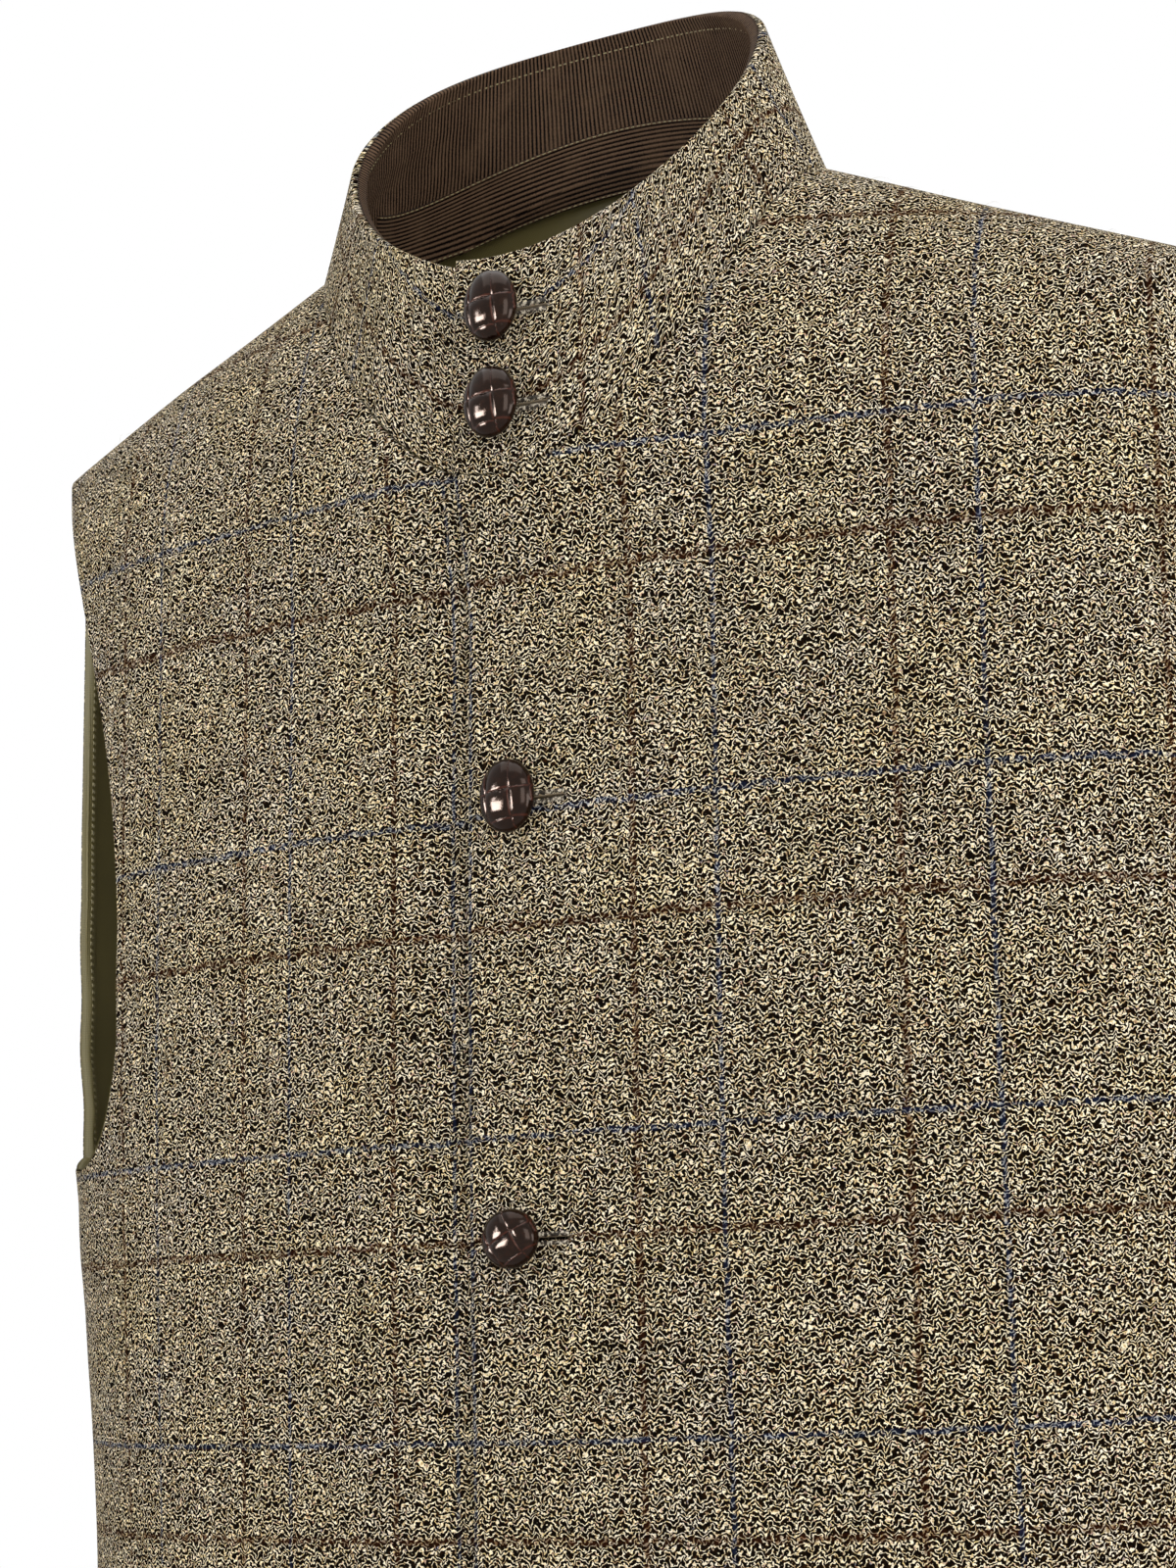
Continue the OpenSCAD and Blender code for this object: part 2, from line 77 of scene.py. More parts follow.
def dye(code):
    """A hexadecimal colour code as linear light."""
    values = [int(code[i : i + 2], 16) / 255 for i in (0, 2, 4)]
    return tuple(v / 12.92 if v <= 0.04045 else ((v + 0.055) / 1.055) ** 2.4 for v in values)


def toned(shade, factor):
    """A colour made lighter or darker."""
    return tuple(factor * v for v in shade)


def colour(name, code, text):
    """A colour that a user can change, given as a hexadecimal code."""
    return bpy.props.FloatVectorProperty(
        name=name, description=text, default=dye(code), subtype="COLOR", size=3, min=0, max=1
    )


class GiletShape(bpy.types.PropertyGroup):
    """Sizes of the worn gilet, as its CAD parts have them"""

    tip_z: length("Shoulder height", 0.638, "Height of the shoulder tip above the hem")
    chest_z: length("Chest height", 0.415, "Height of the chest ring above the hem")
    waist_z: length("Waist height", 0.230, "Height of the waist ring above the hem")
    hem_half: length("Hem half width", 0.214, "Half width at the hem")
    waist_half: length("Waist half width", 0.207, "Half width at the waist")
    chest_half: length("Chest half width", 0.215, "Half width at the chest")
    tip_half: length("Shoulder half width", 0.208, "Half width between the shoulder tips")
    hem_front: length("Hem front", 0.098, "Reach of the front at the hem")
    waist_front: length("Waist front", 0.082, "Reach of the front at the waist")
    chest_front: length("Chest front", 0.068, "Reach of the front at the chest")
    tip_front: length("Shoulder front", 0.044, "Reach of the front at shoulder height")
    hem_back: length("Hem back", 0.124, "Reach of the back at the hem")
    waist_back: length("Waist back", 0.114, "Reach of the back at the waist")
    chest_back: length("Chest back", 0.142, "Reach of the back at the chest")
    tip_back: length("Shoulder back", 0.122, "Reach of the back at shoulder height")
    side_y: length("Side setback", 0.020, "Setback of the side seam")
    tip_y: length("Tip setback", 0.012, "Setback of the shoulder tip")
    squareness: number("Squareness", 2.35, "Roundness of the rings, 2 is an ellipse")
    armhole_depth: length("Armhole depth", 0.258, "Depth of the armhole below the shoulder tip")
    front_half: length("Front half width", 0.192, "Half width of the front between the armholes")
    seam_turn: number("Seam turn", 12.0, "Turn of the side seams round the body, to the wearer's left, degrees")
    back_scoop: number("Back scoop", 2.0, "Sweep of the back edge behind the side seam, degrees")
    facing_share: number("Facing share", 0.18, "Width of the armhole facing, as a share of the hole")
    shoulder_rise: length("Shoulder rise", 0.052, "Rise of the shoulder from its tip to the neck")
    neck_drop: length("Neck drop", 0.108, "Drop of the front neck below the side neck")
    back_rise: length("Back rise", 0.044, "Rise of the back neck above the side neck")
    neck_half: length("Neck half width", 0.093, "Half width of the neck seam")
    neck_front: length("Neck front", 0.063, "Reach of the neck seam to the front")
    neck_back: length("Neck back", 0.062, "Reach of the neck seam to the back")
    neck_y: length("Neck setback", 0.010, "Setback of the side neck point")
    yoke_drop_back: length("Yoke drop", 0.060, "Drop of the back yoke line below the shoulder tip")
    collar_half: length("Collar half width", 0.076, "Half width of the collar's top edge")
    collar_front: length("Collar front", 0.055, "Reach of the collar's top edge to the front")
    collar_back: length("Collar back", 0.050, "Reach of the collar's top edge to the back")
    collar_front_h: length("Collar front height", 0.076, "Height of the collar at the front")
    collar_side_h: length("Collar side height", 0.043, "Height of the collar at the side")
    collar_back_h: length("Collar back height", 0.045, "Height of the collar at the back")
    neck_band_h: length("Neck band", 0.020, "Height of the corduroy band over the neck seam inside the back")
    neck_band_drop: length("Neck band drop", 0.007, "Reach of that band below the seam at the centre back")
    neck_band_rise: length("Neck band rise", 0.014, "Rise of that band from the centre back to the shoulders")
    lap: length("Lap", 0.017, "Reach of each front edge past the centre line")
    lap_drop: length("Lap depth", 0.0056, "Depth of the right front under the left")
    lap_step: length("Lap step", 0.028, "Width of the step where the right front rises again")
    facing_w: length("Facing width", 0.045, "Width of the front facing from the centre line")
    lining_hem: length("Lining hem", 0.016, "Height of the lining's edge above the hem")
    collar_inset: length("Collar button inset", 0.0215, "Inset of the collar buttons from its edges")
    first_drop: length("First button drop", 0.106, "Drop of the first front button below the neck seam")
    button_pitch: length("Button pitch", 0.139, "Distance between front buttons")
    pocket_x: length("Pocket place", 0.112, "Distance of a pocket's middle from the centre line")
    pocket_w: length("Pocket width", 0.112, "Width of a pocket")
    pocket_z: length("Pocket mouth", 0.190, "Height of the pocket's mouth above the hem")
    pocket_h: length("Pocket height", 0.145, "Height of a pocket")
    pocket_d: length("Pocket depth", 0.016, "Depth of a pocket")
    flap_h: length("Flap height", 0.052, "Height of a flap")
    flap_over: length("Flap overhang", 0.004, "Overhang of the flap past each side of the pocket")
    flap_rise: length("Flap rise", 0.020, "Height of the flap's stitching above the pocket's mouth")


class GiletCloth(bpy.types.PropertyGroup):
    """Thicknesses, weave and colours of the cloths"""

    tweed_t: length("Tweed", 0.0018, "Thickness of the tweed")
    facing_t: length("Front facing", 0.0012, "Thickness of the front facing")
    lining_t: length("Lining", 0.0008, "Thickness of the lining")
    interlining_t: length("Interlining", 0.001, "Thickness of the collar's interlining")
    corduroy_t: length("Corduroy", 0.0014, "Thickness of the corduroy")
    layer_gap: length("Layer gap", 0.0004, "Gap between layers")
    yarn: length("Yarn", 0.00046, "Distance from one yarn of the tweed to the next")
    wale: length("Wale", 0.00168, "Distance from one wale of the corduroy to the next")
    wale_h: length("Wale height", 0.0005, "Height of a wale")
    stitch: length("Stitch", 0.0022, "Length of a stitch")
    cream: colour("Cream yarn", "efe4ce", "Pale yarn of the tweed")
    dark: colour("Dark yarn", "0d0804", "Dark yarn of the tweed")
    brown: colour("Brown line", "5c3814", "Brown line of the check")
    blue: colour("Blue line", "141c33", "Blue line of the check")
    olive: colour("Lining", "786e41", "Plain lining")
    rib: colour("Corduroy rib", "67513f", "Top of a corduroy wale")
    # The groove colour is painted shade: it darkens the corduroy between the wales, where shade falls
    groove: colour("Corduroy groove", "0c0604", "Groove between corduroy wales")
    canvas: colour("Canvas", "b8ad96", "Interlining of the collar")
    stray: colour("Stray wool", "d9cfb4", "Single wool fibres that stand off the tweed")
    thread: colour("Thread", "5f5241", "Sewing thread on the tweed")
    lining_thread: colour("Lining thread", "a0956a", "Sewing thread on the lining")


class GiletButtons(bpy.types.PropertyGroup):
    """Sizes and colours of the woven leather buttons"""

    diameter: length("Diameter", 0.0185, "Diameter of a round button")
    oval_h: length("Oval height", 0.024, "Height of an oval button")
    thickness: length("Thickness", 0.008, "Thickness of a button")
    lift: length("Lift", 0.003, "Clearance between a button and the cloth")
    shank_d: length("Shank", 0.0024, "Diameter of a thread shank")
    shank_grip: length("Shank grip", 0.0016, "Depth of the shank in the button")
    shank_seat: length("Shank seat", 0.0005, "Clearance between a shank and the cloth under it")
    hole_len: length("Buttonhole", 0.021, "Length of a buttonhole")
    hole_w: length("Buttonhole width", 0.0032, "Width of a buttonhole at its eye")
    eye_back: length("Eye behind", 0.002, "Reach of the eye behind the shank, to the middle of its round end")
    eye_fore: length("Eye before", 0.0012, "Reach of the eye before the shank, to the middle of its round end")
    slit_w: length("Slit", 0.0011, "Width of a buttonhole's slit")
    leather: colour("Leather", "170a05", "Face of a leather strip")
    edge: colour("Strip edge", "452118", "Worn edge of a leather strip")


class GiletStage(bpy.types.PropertyGroup):
    """Camera, lights and floor"""

    eye: bpy.props.FloatVectorProperty(
        name="Camera",
        description="Place of the camera",
        default=(0.3215, -0.7729, 0.3225),
        unit="LENGTH",
        size=3,
    )
    heading: number("Heading", 23.4, "Turn of the camera from straight ahead, degrees")
    pitch: number("Pitch", 4.8, "Upward tilt of the camera, degrees")
    roll: number("Roll", -2.8, "Roll of the camera, degrees")
    lens: number("Lens", 56.3, "Focal length on a 36 mm frame, millimetres")
    shift_y: number("Shift", 0.1875, "Vertical shift of the lens, as a share of the frame's long side")
    floor: colour("Floor", "f2f1ee", "Floor and backdrop")


def sin(angle):
    return np.sin(np.radians(angle))


def cos(angle):
    return np.cos(np.radians(angle))


def unit(v):
    return v / np.linalg.norm(v, axis=-1, keepdims=True)


def ramp(x, low, high):
    """Smooth step from 0 at low to 1 at high."""
    s = np.clip((np.asarray(x, float) - low) / (high - low), 0, 1)
    return s * s * (3 - 2 * s)


def spread(*parts):
    """The parts joined into one rising list of numbers."""
    return np.unique(np.round(np.concatenate([np.atleast_1d(p) for p in parts]), 9))


class Form:
    """Surface of the worn gilet. psi is 0 at the centre front, 90 at the wearer's left and 180 at the back.

    On the body t runs from 0 at the hem to 1 at the yoke line and 2 at the neck seam. On the collar s runs from
    0 at the neck seam to 1 at the top edge. Depths are measured inwards from the outer face.
    """

    seam_gap = 0.0004
    armhole_turn = 0.37

    def __init__(self, shape):
        for key in type(shape).__annotations__:
            setattr(self, key, getattr(shape, key))
        self.side_neck_z = self.tip_z + self.shoulder_rise
        self.front_neck_z = self.side_neck_z - self.neck_drop
        self.back_neck_z = self.side_neck_z + self.back_rise
        self.underarm = 1 - self.armhole_depth / self.tip_z
        self.knots = (0, self.waist_z, self.chest_z, self.tip_z)
        self.armhole_angle = self.angle_at(self.front_half, self.chest_half)
        self.centre_y = 0.0
        low_front = self.front_at(self.pocket_z - self.pocket_h)
        self.centre_y = float(self.chest_back - low_front - self.pocket_d) / 2

    def slope(self, values, i):
        a, b = max(0, i - 1), min(3, i + 1)
        return (values[b] - values[a]) / (self.knots[b] - self.knots[a])

    def spline(self, values, z):
        """Smooth curve through the hem, waist, chest and shoulder values."""
        z = np.asarray(z, float)
        found = np.zeros_like(z)
        for i in range(3):
            h = self.knots[i + 1] - self.knots[i]
            s = (z - self.knots[i]) / h
            r = 1 - s
            curve = values[i] * (1 + 2 * s) * r * r + values[i + 1] * s * s * (3 - 2 * s)
            curve = curve + h * s * r * (self.slope(values, i) * r - self.slope(values, i + 1) * s)
            inside = (z >= self.knots[i]) if i else np.ones_like(z, bool)
            found = np.where(inside, curve, found)
        return found

    def half_at(self, z):
        return self.spline((self.hem_half, self.waist_half, self.chest_half, self.tip_half), z)

    def front_at(self, z):
        return self.spline((self.hem_front, self.waist_front, self.chest_front, self.tip_front), z)

    def back_at(self, z):
        return self.spline((self.hem_back, self.waist_back, self.chest_back, self.tip_back), z)

    def side_at(self, z):
        return self.spline((self.side_y, self.side_y, self.side_y, self.tip_y), z)

    def bulge(self, psi):
        n = self.squareness
        return (abs(sin(psi)) ** n + abs(cos(psi)) ** n) ** (-1 / n)

    def ring(self, psi, z):
        psi, z = np.broadcast_arrays(np.asarray(psi, float), np.asarray(z, float))
        c, middle = cos(psi), self.side_at(z)
        reach = np.where(c > 0, middle + self.front_at(z), self.back_at(z) - middle)
        bulge = self.bulge(psi)
        x = self.half_at(z) * sin(psi) * bulge
        return np.stack((x, middle - reach * c * bulge - self.centre_y, z), -1)

    def neck(self, psi):
        psi = np.asarray(psi, float)
        c = cos(psi)
        reach = np.where(c > 0, self.neck_y + self.neck_front, self.neck_back - self.neck_y)
        rise = np.where(c > 0, -self.neck_drop, self.back_rise) * c * c
        return np.stack(
            (self.neck_half * sin(psi), self.neck_y - reach * c - self.centre_y, self.side_neck_z + rise), -1
        )

    def yoke_z(self, psi):
        c = cos(psi)
        return self.tip_z - np.where(c > 0, self.neck_drop, self.yoke_drop_back) * c * c

    def yoke(self, psi, v):
        z = self.yoke_z(psi)
        low, high = self.ring(psi, z), self.neck(psi)
        bend = 2 - ramp(np.degrees(np.arcsin(np.minimum(1, abs(sin(psi))))), 30, 85)
        ease = np.maximum(v, 0) ** bend
        rise = high[..., 2] - low[..., 2]
        run = rise * v * (1 - v) ** 2 * (bend - 1)
        lean = (low - self.ring(psi, z - 0.002)) / 0.002
        point = low + (high - low) * ease[..., None] + lean * run[..., None]
        point[..., 2] = low[..., 2] + rise * v
        return point

    def body(self, psi, t):
        psi, t = np.broadcast_arrays(np.asarray(psi, float), np.asarray(t, float))
        low = self.ring(psi, t * self.yoke_z(psi))
        return np.where((t <= 1)[..., None], low, self.yoke(psi, t - 1))

    def body_normal(self, psi, t):
        across = self.body(psi + ANGLE_STEP, t) - self.body(psi - ANGLE_STEP, t)
        along = self.body(psi, t + ROW_STEP) - self.body(psi, t - ROW_STEP)
        return unit(np.cross(across, along))

    def seam_normal(self, psi):
        return unit(self.body_normal(psi, np.full_like(psi, 2.0)) + self.collar_normal(psi, np.zeros_like(psi)))

    def skin(self, psi, t, depth, mirror=1):
        """Point at a depth below the outer face, on the left or, with mirror -1, on the right."""
        psi, t = np.broadcast_arrays(np.asarray(psi, float), np.asarray(t, float))
        normal = self.body_normal(psi, t)
        mitre = ramp(t, 1.93, 2.0)[..., None]
        normal = unit(normal * (1 - mitre) + self.seam_normal(psi) * mitre)
        point = self.body(psi, t)
        point = point + normal * (self.drape(point * (mirror, 1, 1), t) - depth)[..., None]
        point[..., 2] = np.where(t <= 0, 0, point[..., 2])
        return point * (mirror, 1, 1)

    def drape(self, point, t):
        """How far the cloth stands off its mean surface, as worn cloth does away from the buttons."""
        x, y, z = point[..., 0], point[..., 1], point[..., 2]
        side = ramp(abs(x), 0.03, 0.11) * (1 - ramp(t, 1.45, 1.85))
        long_waves = np.sin(31 * x + 9 * z + 0.6) * np.sin(7.5 * z + 1.9)
        long_waves = long_waves + 0.6 * np.sin(52 * y - 11 * z + 14 * x)
        under = np.exp(-((z - 0.40) / 0.07) ** 2) * ramp(abs(x), 0.12, 0.19)
        creases = np.sin(150 * z + 38 * abs(x) + 20 * y)
        return side * (0.0007 * long_waves + 0.0005 * under * creases)

    def angle_at(self, x, half):
        k = (abs(x) / half) ** self.squareness
        return np.sign(x) * np.degrees(np.arctan((k / (1 - k)) ** (1 / self.squareness)))

    def row_angle(self, x, t):
        """Angle on row t at which the front is x from the centre line."""
        t = np.asarray(t, float)
        front_yoke = self.yoke_z(0.0)
        ease = np.clip(t - 1, 0, None) ** 2
        half = np.where(
            t <= 1, self.half_at(t * front_yoke), self.half_at(front_yoke) * (1 - ease) + self.neck_half * ease
        )
        low, high = self.angle_at(x, half), np.degrees(np.arcsin(x / half))
        return low + (high - low) * np.clip(t - 1, 0, 1)

    def armhole_share(self, t):
        return np.clip((np.asarray(t, float) - self.underarm) / (1 - self.underarm), 0, 1)

    def side_seam(self, t, side):
        """Angle of the side seam on row t; side is 1 on the wearer's left and -1 on the right."""
        return 90 + side * self.seam_turn * (1 - self.armhole_share(t) ** 2)

    def front_side(self, t, side):
        w = self.armhole_share(t)
        low = np.clip(1 - np.clip(1 - w / self.armhole_turn, 0, 1) ** 3.2, 0, 1) ** (1 / 2.6)
        rest = np.clip((w - self.armhole_turn) / (1 - self.armhole_turn), 0, 1)
        high = np.clip(1 - rest**2.2, 0, 1) ** (1 / 2.3)
        seam = self.side_seam(t, side)
        inner = self.armhole_angle + side * self.seam_turn
        return seam - (seam - inner) * np.where(w < self.armhole_turn, low, high)

    def back_side(self, t, side):
        return self.side_seam(t, side) + self.back_scoop * sin(180 * self.armhole_share(t))

    def drop(self, x):
        """How far the right front lies below the left, x from the centre line."""
        start = self.lap + 0.003
        return self.lap_drop * (1 - ramp(x, start, start + self.lap_step))

    def collar_top(self, psi):
        front = self.front_neck_z + self.collar_front_h
        side = self.side_neck_z + self.collar_side_h
        back = self.back_neck_z + self.collar_back_h
        z = (front + back) / 4 + side / 2 + (front - back) / 2 * cos(psi)
        z = z + ((front + back) / 4 - side / 2) * cos(2 * psi)
        y = (self.collar_back - self.collar_front) / 2 - (self.collar_back + self.collar_front) / 2 * cos(psi)
        return np.stack((self.collar_half * sin(psi), y - self.centre_y, z), -1)

    def collar(self, psi, s):
        psi, s = np.broadcast_arrays(np.asarray(psi, float), np.asarray(s, float))
        seam, top = self.neck(psi), self.collar_top(psi)
        low = seam + self.seam_gap * unit(top - seam)
        return low + (top - low) * s[..., None]

    def collar_normal(self, psi, s):
        across = self.collar(psi + ANGLE_STEP, s) - self.collar(psi - ANGLE_STEP, s)
        return unit(np.cross(across, self.collar_top(psi) - self.neck(psi)))

    def collar_height(self, psi):
        """Height of the collar along its slope."""
        top, low = self.collar(psi, np.ones_like(psi)), self.collar(psi, np.zeros_like(psi))
        return np.linalg.norm(top - low, axis=-1)

    def collar_half_at(self, s):
        return self.neck_half * (1 - s) + self.collar_half * s

    def collar_skin(self, psi, s, depth):
        normal = self.collar_normal(psi, s)
        mitre = (1 - ramp(s, 0.0, 0.12))[..., None]
        normal = unit(normal * (1 - mitre) + self.seam_normal(psi) * mitre)
        return self.collar(psi, s) - normal * np.asarray(depth)[..., None]

    def on_front(self, x, z, lift):
        """Point that stands off the front by lift, x from the centre line and z above the hem."""
        psi = self.angle_at(x, self.half_at(z))
        return self.ring(psi, z) + self.body_normal(psi, z / self.yoke_z(psi)) * np.asarray(lift)[..., None]

    def button(self, i):
        """Point on the cloth under button i and the outward normal there."""
        if i in COLLAR_BUTTONS:
            inset = self.collar_inset / self.collar_front_h
            s = np.array(1 - inset if i == 1 else inset)
            psi = np.array(0.0)
            return self.collar(psi, s), self.collar_normal(psi, s)
        z = self.front_neck_z - self.first_drop - (i - 3) * self.button_pitch
        return self.ring(0.0, z), self.body_normal(0.0, z / self.yoke_z(0.0))

    def arc(self, psi, z, start):
        """Length along the ring at height z from the angle start, which is 0 or 180."""
        shares = np.linspace(0, 1, 33).reshape((-1,) + (1,) * np.ndim(psi))
        line = self.ring(start + (psi - start) * shares, np.broadcast_to(z, shares.shape[:1] + np.shape(psi)))
        return np.linalg.norm(np.diff(line, axis=0), axis=-1).sum(0)

    def grain(self, psi, t, start):
        """Flat cloth coordinates: across from the centre line, and up from the hem."""
        psi, t = np.broadcast_arrays(np.asarray(psi, float), np.asarray(t, float))
        across = self.arc(psi, np.minimum(t, 1) * self.yoke_z(psi), start) * np.sign(psi)
        up = np.minimum(t, 1) * self.yoke_z(psi)
        line = np.linspace(-20.0, 90.0, 221) if start == 0 else np.linspace(90.0, 180.0, 181)
        edge = self.ring(line, self.yoke_z(line))
        edge_arc = self.arc(line, self.yoke_z(line), start) * np.sign(line)
        order = np.argsort(edge[:, 0])
        point = self.body(psi, t)
        low = [np.interp(point[..., 0], edge[order, 0], edge[order, k]) for k in range(3)]
        over = np.hypot(point[..., 1] - low[1], point[..., 2] - low[2])
        across = np.where(t > 1, np.interp(point[..., 0], edge[order, 0], edge_arc[order]), across)
        return np.stack((across, np.where(t > 1, low[2] + over, up)), -1)


CHECK_ROWS = (0.246, 0.337, 0.435, 0.549)
# Places of two neighbouring brown upright lines, from the centre line, on each panel
CHECK_COLUMNS = {"left": (0.040, 0.123), "right": (0.044, 0.104), "back": (0.042, 0.126)}


def check_rows(up):
    """Check coordinate of a height: a whole number on each brown line."""
    rows = np.array(CHECK_ROWS)
    low = (up - rows[0]) / (rows[1] - rows[0])
    high = len(rows) - 1 + (up - rows[-1]) / (rows[-1] - rows[-2])
    inside = np.interp(up, rows, np.arange(len(rows)))
    return np.where(up < rows[0], low, np.where(up > rows[-1], high, inside))


def check_place(panel, across, up):
    """Check coordinates of a place on a panel."""
    first, second = CHECK_COLUMNS[panel]
    columns = (across - first) / (second - first)
    if panel == "right":
        columns = -columns
    return np.stack((columns, check_rows(up)), -1)


def rolled(depth, edges):
    """Depth of a face whose edges roll over: each edge has the depth that it rolls to and the way to it."""
    found = np.zeros(np.broadcast_shapes(*(np.shape(w) for _, w in edges))) + depth
    for meet, w in edges:
        radius = max(abs(meet - depth), 1e-6)
        share = np.clip(w / radius, 0, 1)
        bent = meet + (depth - meet) * np.sqrt(1 - (1 - share) ** 2)
        found = np.where(abs(bent - depth) > abs(found - depth), bent, found)
    return found


def new_piece(name, points, faces, maps=None):
    """A smooth mesh object. maps holds a UV pair for every vertex, by the map's name."""
    mesh = bpy.data.meshes.new(name)
    rings = faces.tolist() if isinstance(faces, np.ndarray) else faces
    mesh.from_pydata(np.asarray(points).tolist(), [], rings)
    corner = np.zeros(len(mesh.loops), int)
    mesh.loops.foreach_get("vertex_index", corner)
    for key, values in (maps or {}).items():
        layer = mesh.uv_layers.new(name=key)
        layer.data.foreach_set("uv", np.asarray(values, np.float32)[corner].ravel())
    mesh.polygons.foreach_set("use_smooth", np.ones(len(mesh.polygons), bool))
    mesh.update()
    piece = bpy.data.objects.new(name, mesh)
    bpy.context.scene.collection.objects.link(piece)
    return piece


def grid_faces(rows, columns, flip=False):
    """Quads of a grid of points that are numbered row by row."""
    i, j = np.meshgrid(np.arange(rows - 1), np.arange(columns - 1), indexing="ij")
    a = (i * columns + j).ravel()
    quads = np.stack((a, a + 1, a + columns + 1, a + columns), -1)
    return quads[:, ::-1] if flip else quads


def cloth(name, outer, inner, maps, flip=False):
    """A closed piece of cloth between an outer and an inner grid of points."""
    rows, columns = outer.shape[:2]
    count = rows * columns
    edge = np.concatenate(
        (
            np.arange(columns),
            np.arange(1, rows) * columns + columns - 1,
            (rows - 1) * columns + np.arange(columns - 2, -1, -1),
            np.arange(rows - 2, 0, -1) * columns,
        )
    )
    after = np.roll(edge, -1)
    rim = np.stack((edge, edge + count, after + count, after), -1)
    front = grid_faces(rows, columns, flip)
    back = grid_faces(rows, columns, not flip) + count
    points = np.concatenate((outer.reshape(-1, 3), inner.reshape(-1, 3)))
    doubled = {key: np.tile(values.reshape(-1, 2), (2, 1)) for key, values in maps.items()}
    return new_piece(name, points, np.concatenate((front, back, rim[:, ::-1] if flip else rim)), doubled)


def settle(piece, material, node=None, body=GARMENT):
    """Gives a piece its material, and puts it on its body in the place of its CAD node."""
    piece.data.materials.clear()
    piece.data.materials.append(material)
    if node:
        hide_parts(node)
    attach(piece, body)
    return piece


def grid_area(points):
    """Area of a grid of points."""
    a, b = points[1:, 1:] - points[:-1, :-1], points[1:, :-1] - points[:-1, 1:]
    return float(np.linalg.norm(np.cross(a, b), axis=-1).sum() / 2)


def declare_sheet(piece, points, flat_map):
    """Works out the area of a piece of cloth from its own grid, and keeps nothing of it."""
    area = grid_area(points)


class Wires:
    """Short forms for making shader nodes in one tree and joining them."""

    def __init__(self, tree):
        self.tree = tree

    def put(self, kind, **settings):
        node = self.tree.nodes.new(kind)
        for key, value in settings.items():
            setattr(node, key, value)
        return node

    def feed(self, socket, value):
        if isinstance(value, bpy.types.NodeSocket):
            self.tree.links.new(value, socket)
        elif socket.type == "RGBA" and len(value) == 3:
            socket.default_value = (*value, 1)
        else:
            socket.default_value = value

    def math(self, operation, *values):
        node = self.put("ShaderNodeMath", operation=operation)
        for socket, value in zip(node.inputs, values):
            self.feed(socket, value)
        return node.outputs[0]

    def vector(self, operation, *values):
        node = self.put("ShaderNodeVectorMath", operation=operation)
        for socket, value in zip(node.inputs, values):
            self.feed(socket, value)
        return node.outputs[0]

    def scaled(self, vector, *factors):
        return self.vector("MULTIPLY", vector, factors)

    def split(self, vector):
        node = self.put("ShaderNodeSeparateXYZ")
        self.feed(node.inputs[0], vector)
        return node.outputs

    def join(self, x, y, z=0.0):
        node = self.put("ShaderNodeCombineXYZ")
        for socket, value in zip(node.inputs, (x, y, z)):
            self.feed(socket, value)
        return node.outputs[0]

    def mix(self, factor, a, b, blend="MIX"):
        node = self.put("ShaderNodeMix", data_type="RGBA", blend_type=blend)
        self.feed(node.inputs[0], factor)
        self.feed(node.inputs[6], a)
        self.feed(node.inputs[7], b)
        return node.outputs[2]

    def smooth(self, value, low, high, to_low=0.0, to_high=1.0):
        node = self.put("ShaderNodeMapRange", interpolation_type="SMOOTHSTEP")
        for socket, part in zip(node.inputs, (value, low, high, to_low, to_high)):
            self.feed(socket, part)
        return node.outputs[0]

    def noise(self, vector, scale, detail=2.0, rough=0.5, out="Fac"):
        node = self.put("ShaderNodeTexNoise", noise_dimensions="3D")
        self.feed(node.inputs["Vector"], vector)
        node.inputs["Scale"].default_value = scale
        node.inputs["Detail"].default_value = detail
        node.inputs["Roughness"].default_value = rough
        return node.outputs[out]

    def blend(self, factor, stops):
        node = self.put("ShaderNodeValToRGB")
        self.feed(node.inputs[0], factor)
        ends = node.color_ramp.elements
        for place, shade in stops[2:]:
            ends.new(place)
        for element, (place, shade) in zip(ends, sorted(stops, key=lambda s: s[0])):
            element.position = place
            element.color = (*shade, 1)
        return node.outputs[0]

    def bump(self, height, strength, distance, normal=None):
        node = self.put("ShaderNodeBump")
        node.inputs["Strength"].default_value = strength
        node.inputs["Distance"].default_value = distance
        self.feed(node.inputs["Height"], height)
        if normal is not None:
            self.feed(node.inputs["Normal"], normal)
        return node.outputs[0]


def new_group(name, inputs, outputs):
    """An empty shader node group and its input and output nodes."""
    tree = bpy.data.node_groups.new(name, "ShaderNodeTree")
    for label, kind in inputs:
        tree.interface.new_socket(label, in_out="INPUT", socket_type=kind)
    for label, kind in outputs:
        tree.interface.new_socket(label, in_out="OUTPUT", socket_type=kind)
    wires = Wires(tree)
    return wires, wires.put("NodeGroupInput").outputs, wires.put("NodeGroupOutput").inputs


FLOAT, VECTOR, COLOUR = "NodeSocketFloat", "NodeSocketVector", "NodeSocketColor"


def fibre_group():
    """Fine fibres that stand off wool, cotton and thread: a height and a mottle."""
    wires, inside, out = new_group(
        "Fibres", [("Place", VECTOR), ("Size", FLOAT)], [("Height", FLOAT), ("Mottle", FLOAT)]
    )
    place = wires.vector("SCALE", inside["Place"])
    scale = wires.math("DIVIDE", 1.0, inside["Size"])
    wires.feed(place.node.inputs["Scale"], scale)
    fine = wires.noise(place, 1.0, 3.0, 0.65)
    coarse = wires.noise(place, 0.11, 2.0, 0.5)
    wires.feed(out["Height"], fine)
    wires.feed(out["Mottle"], coarse)
    return wires.tree


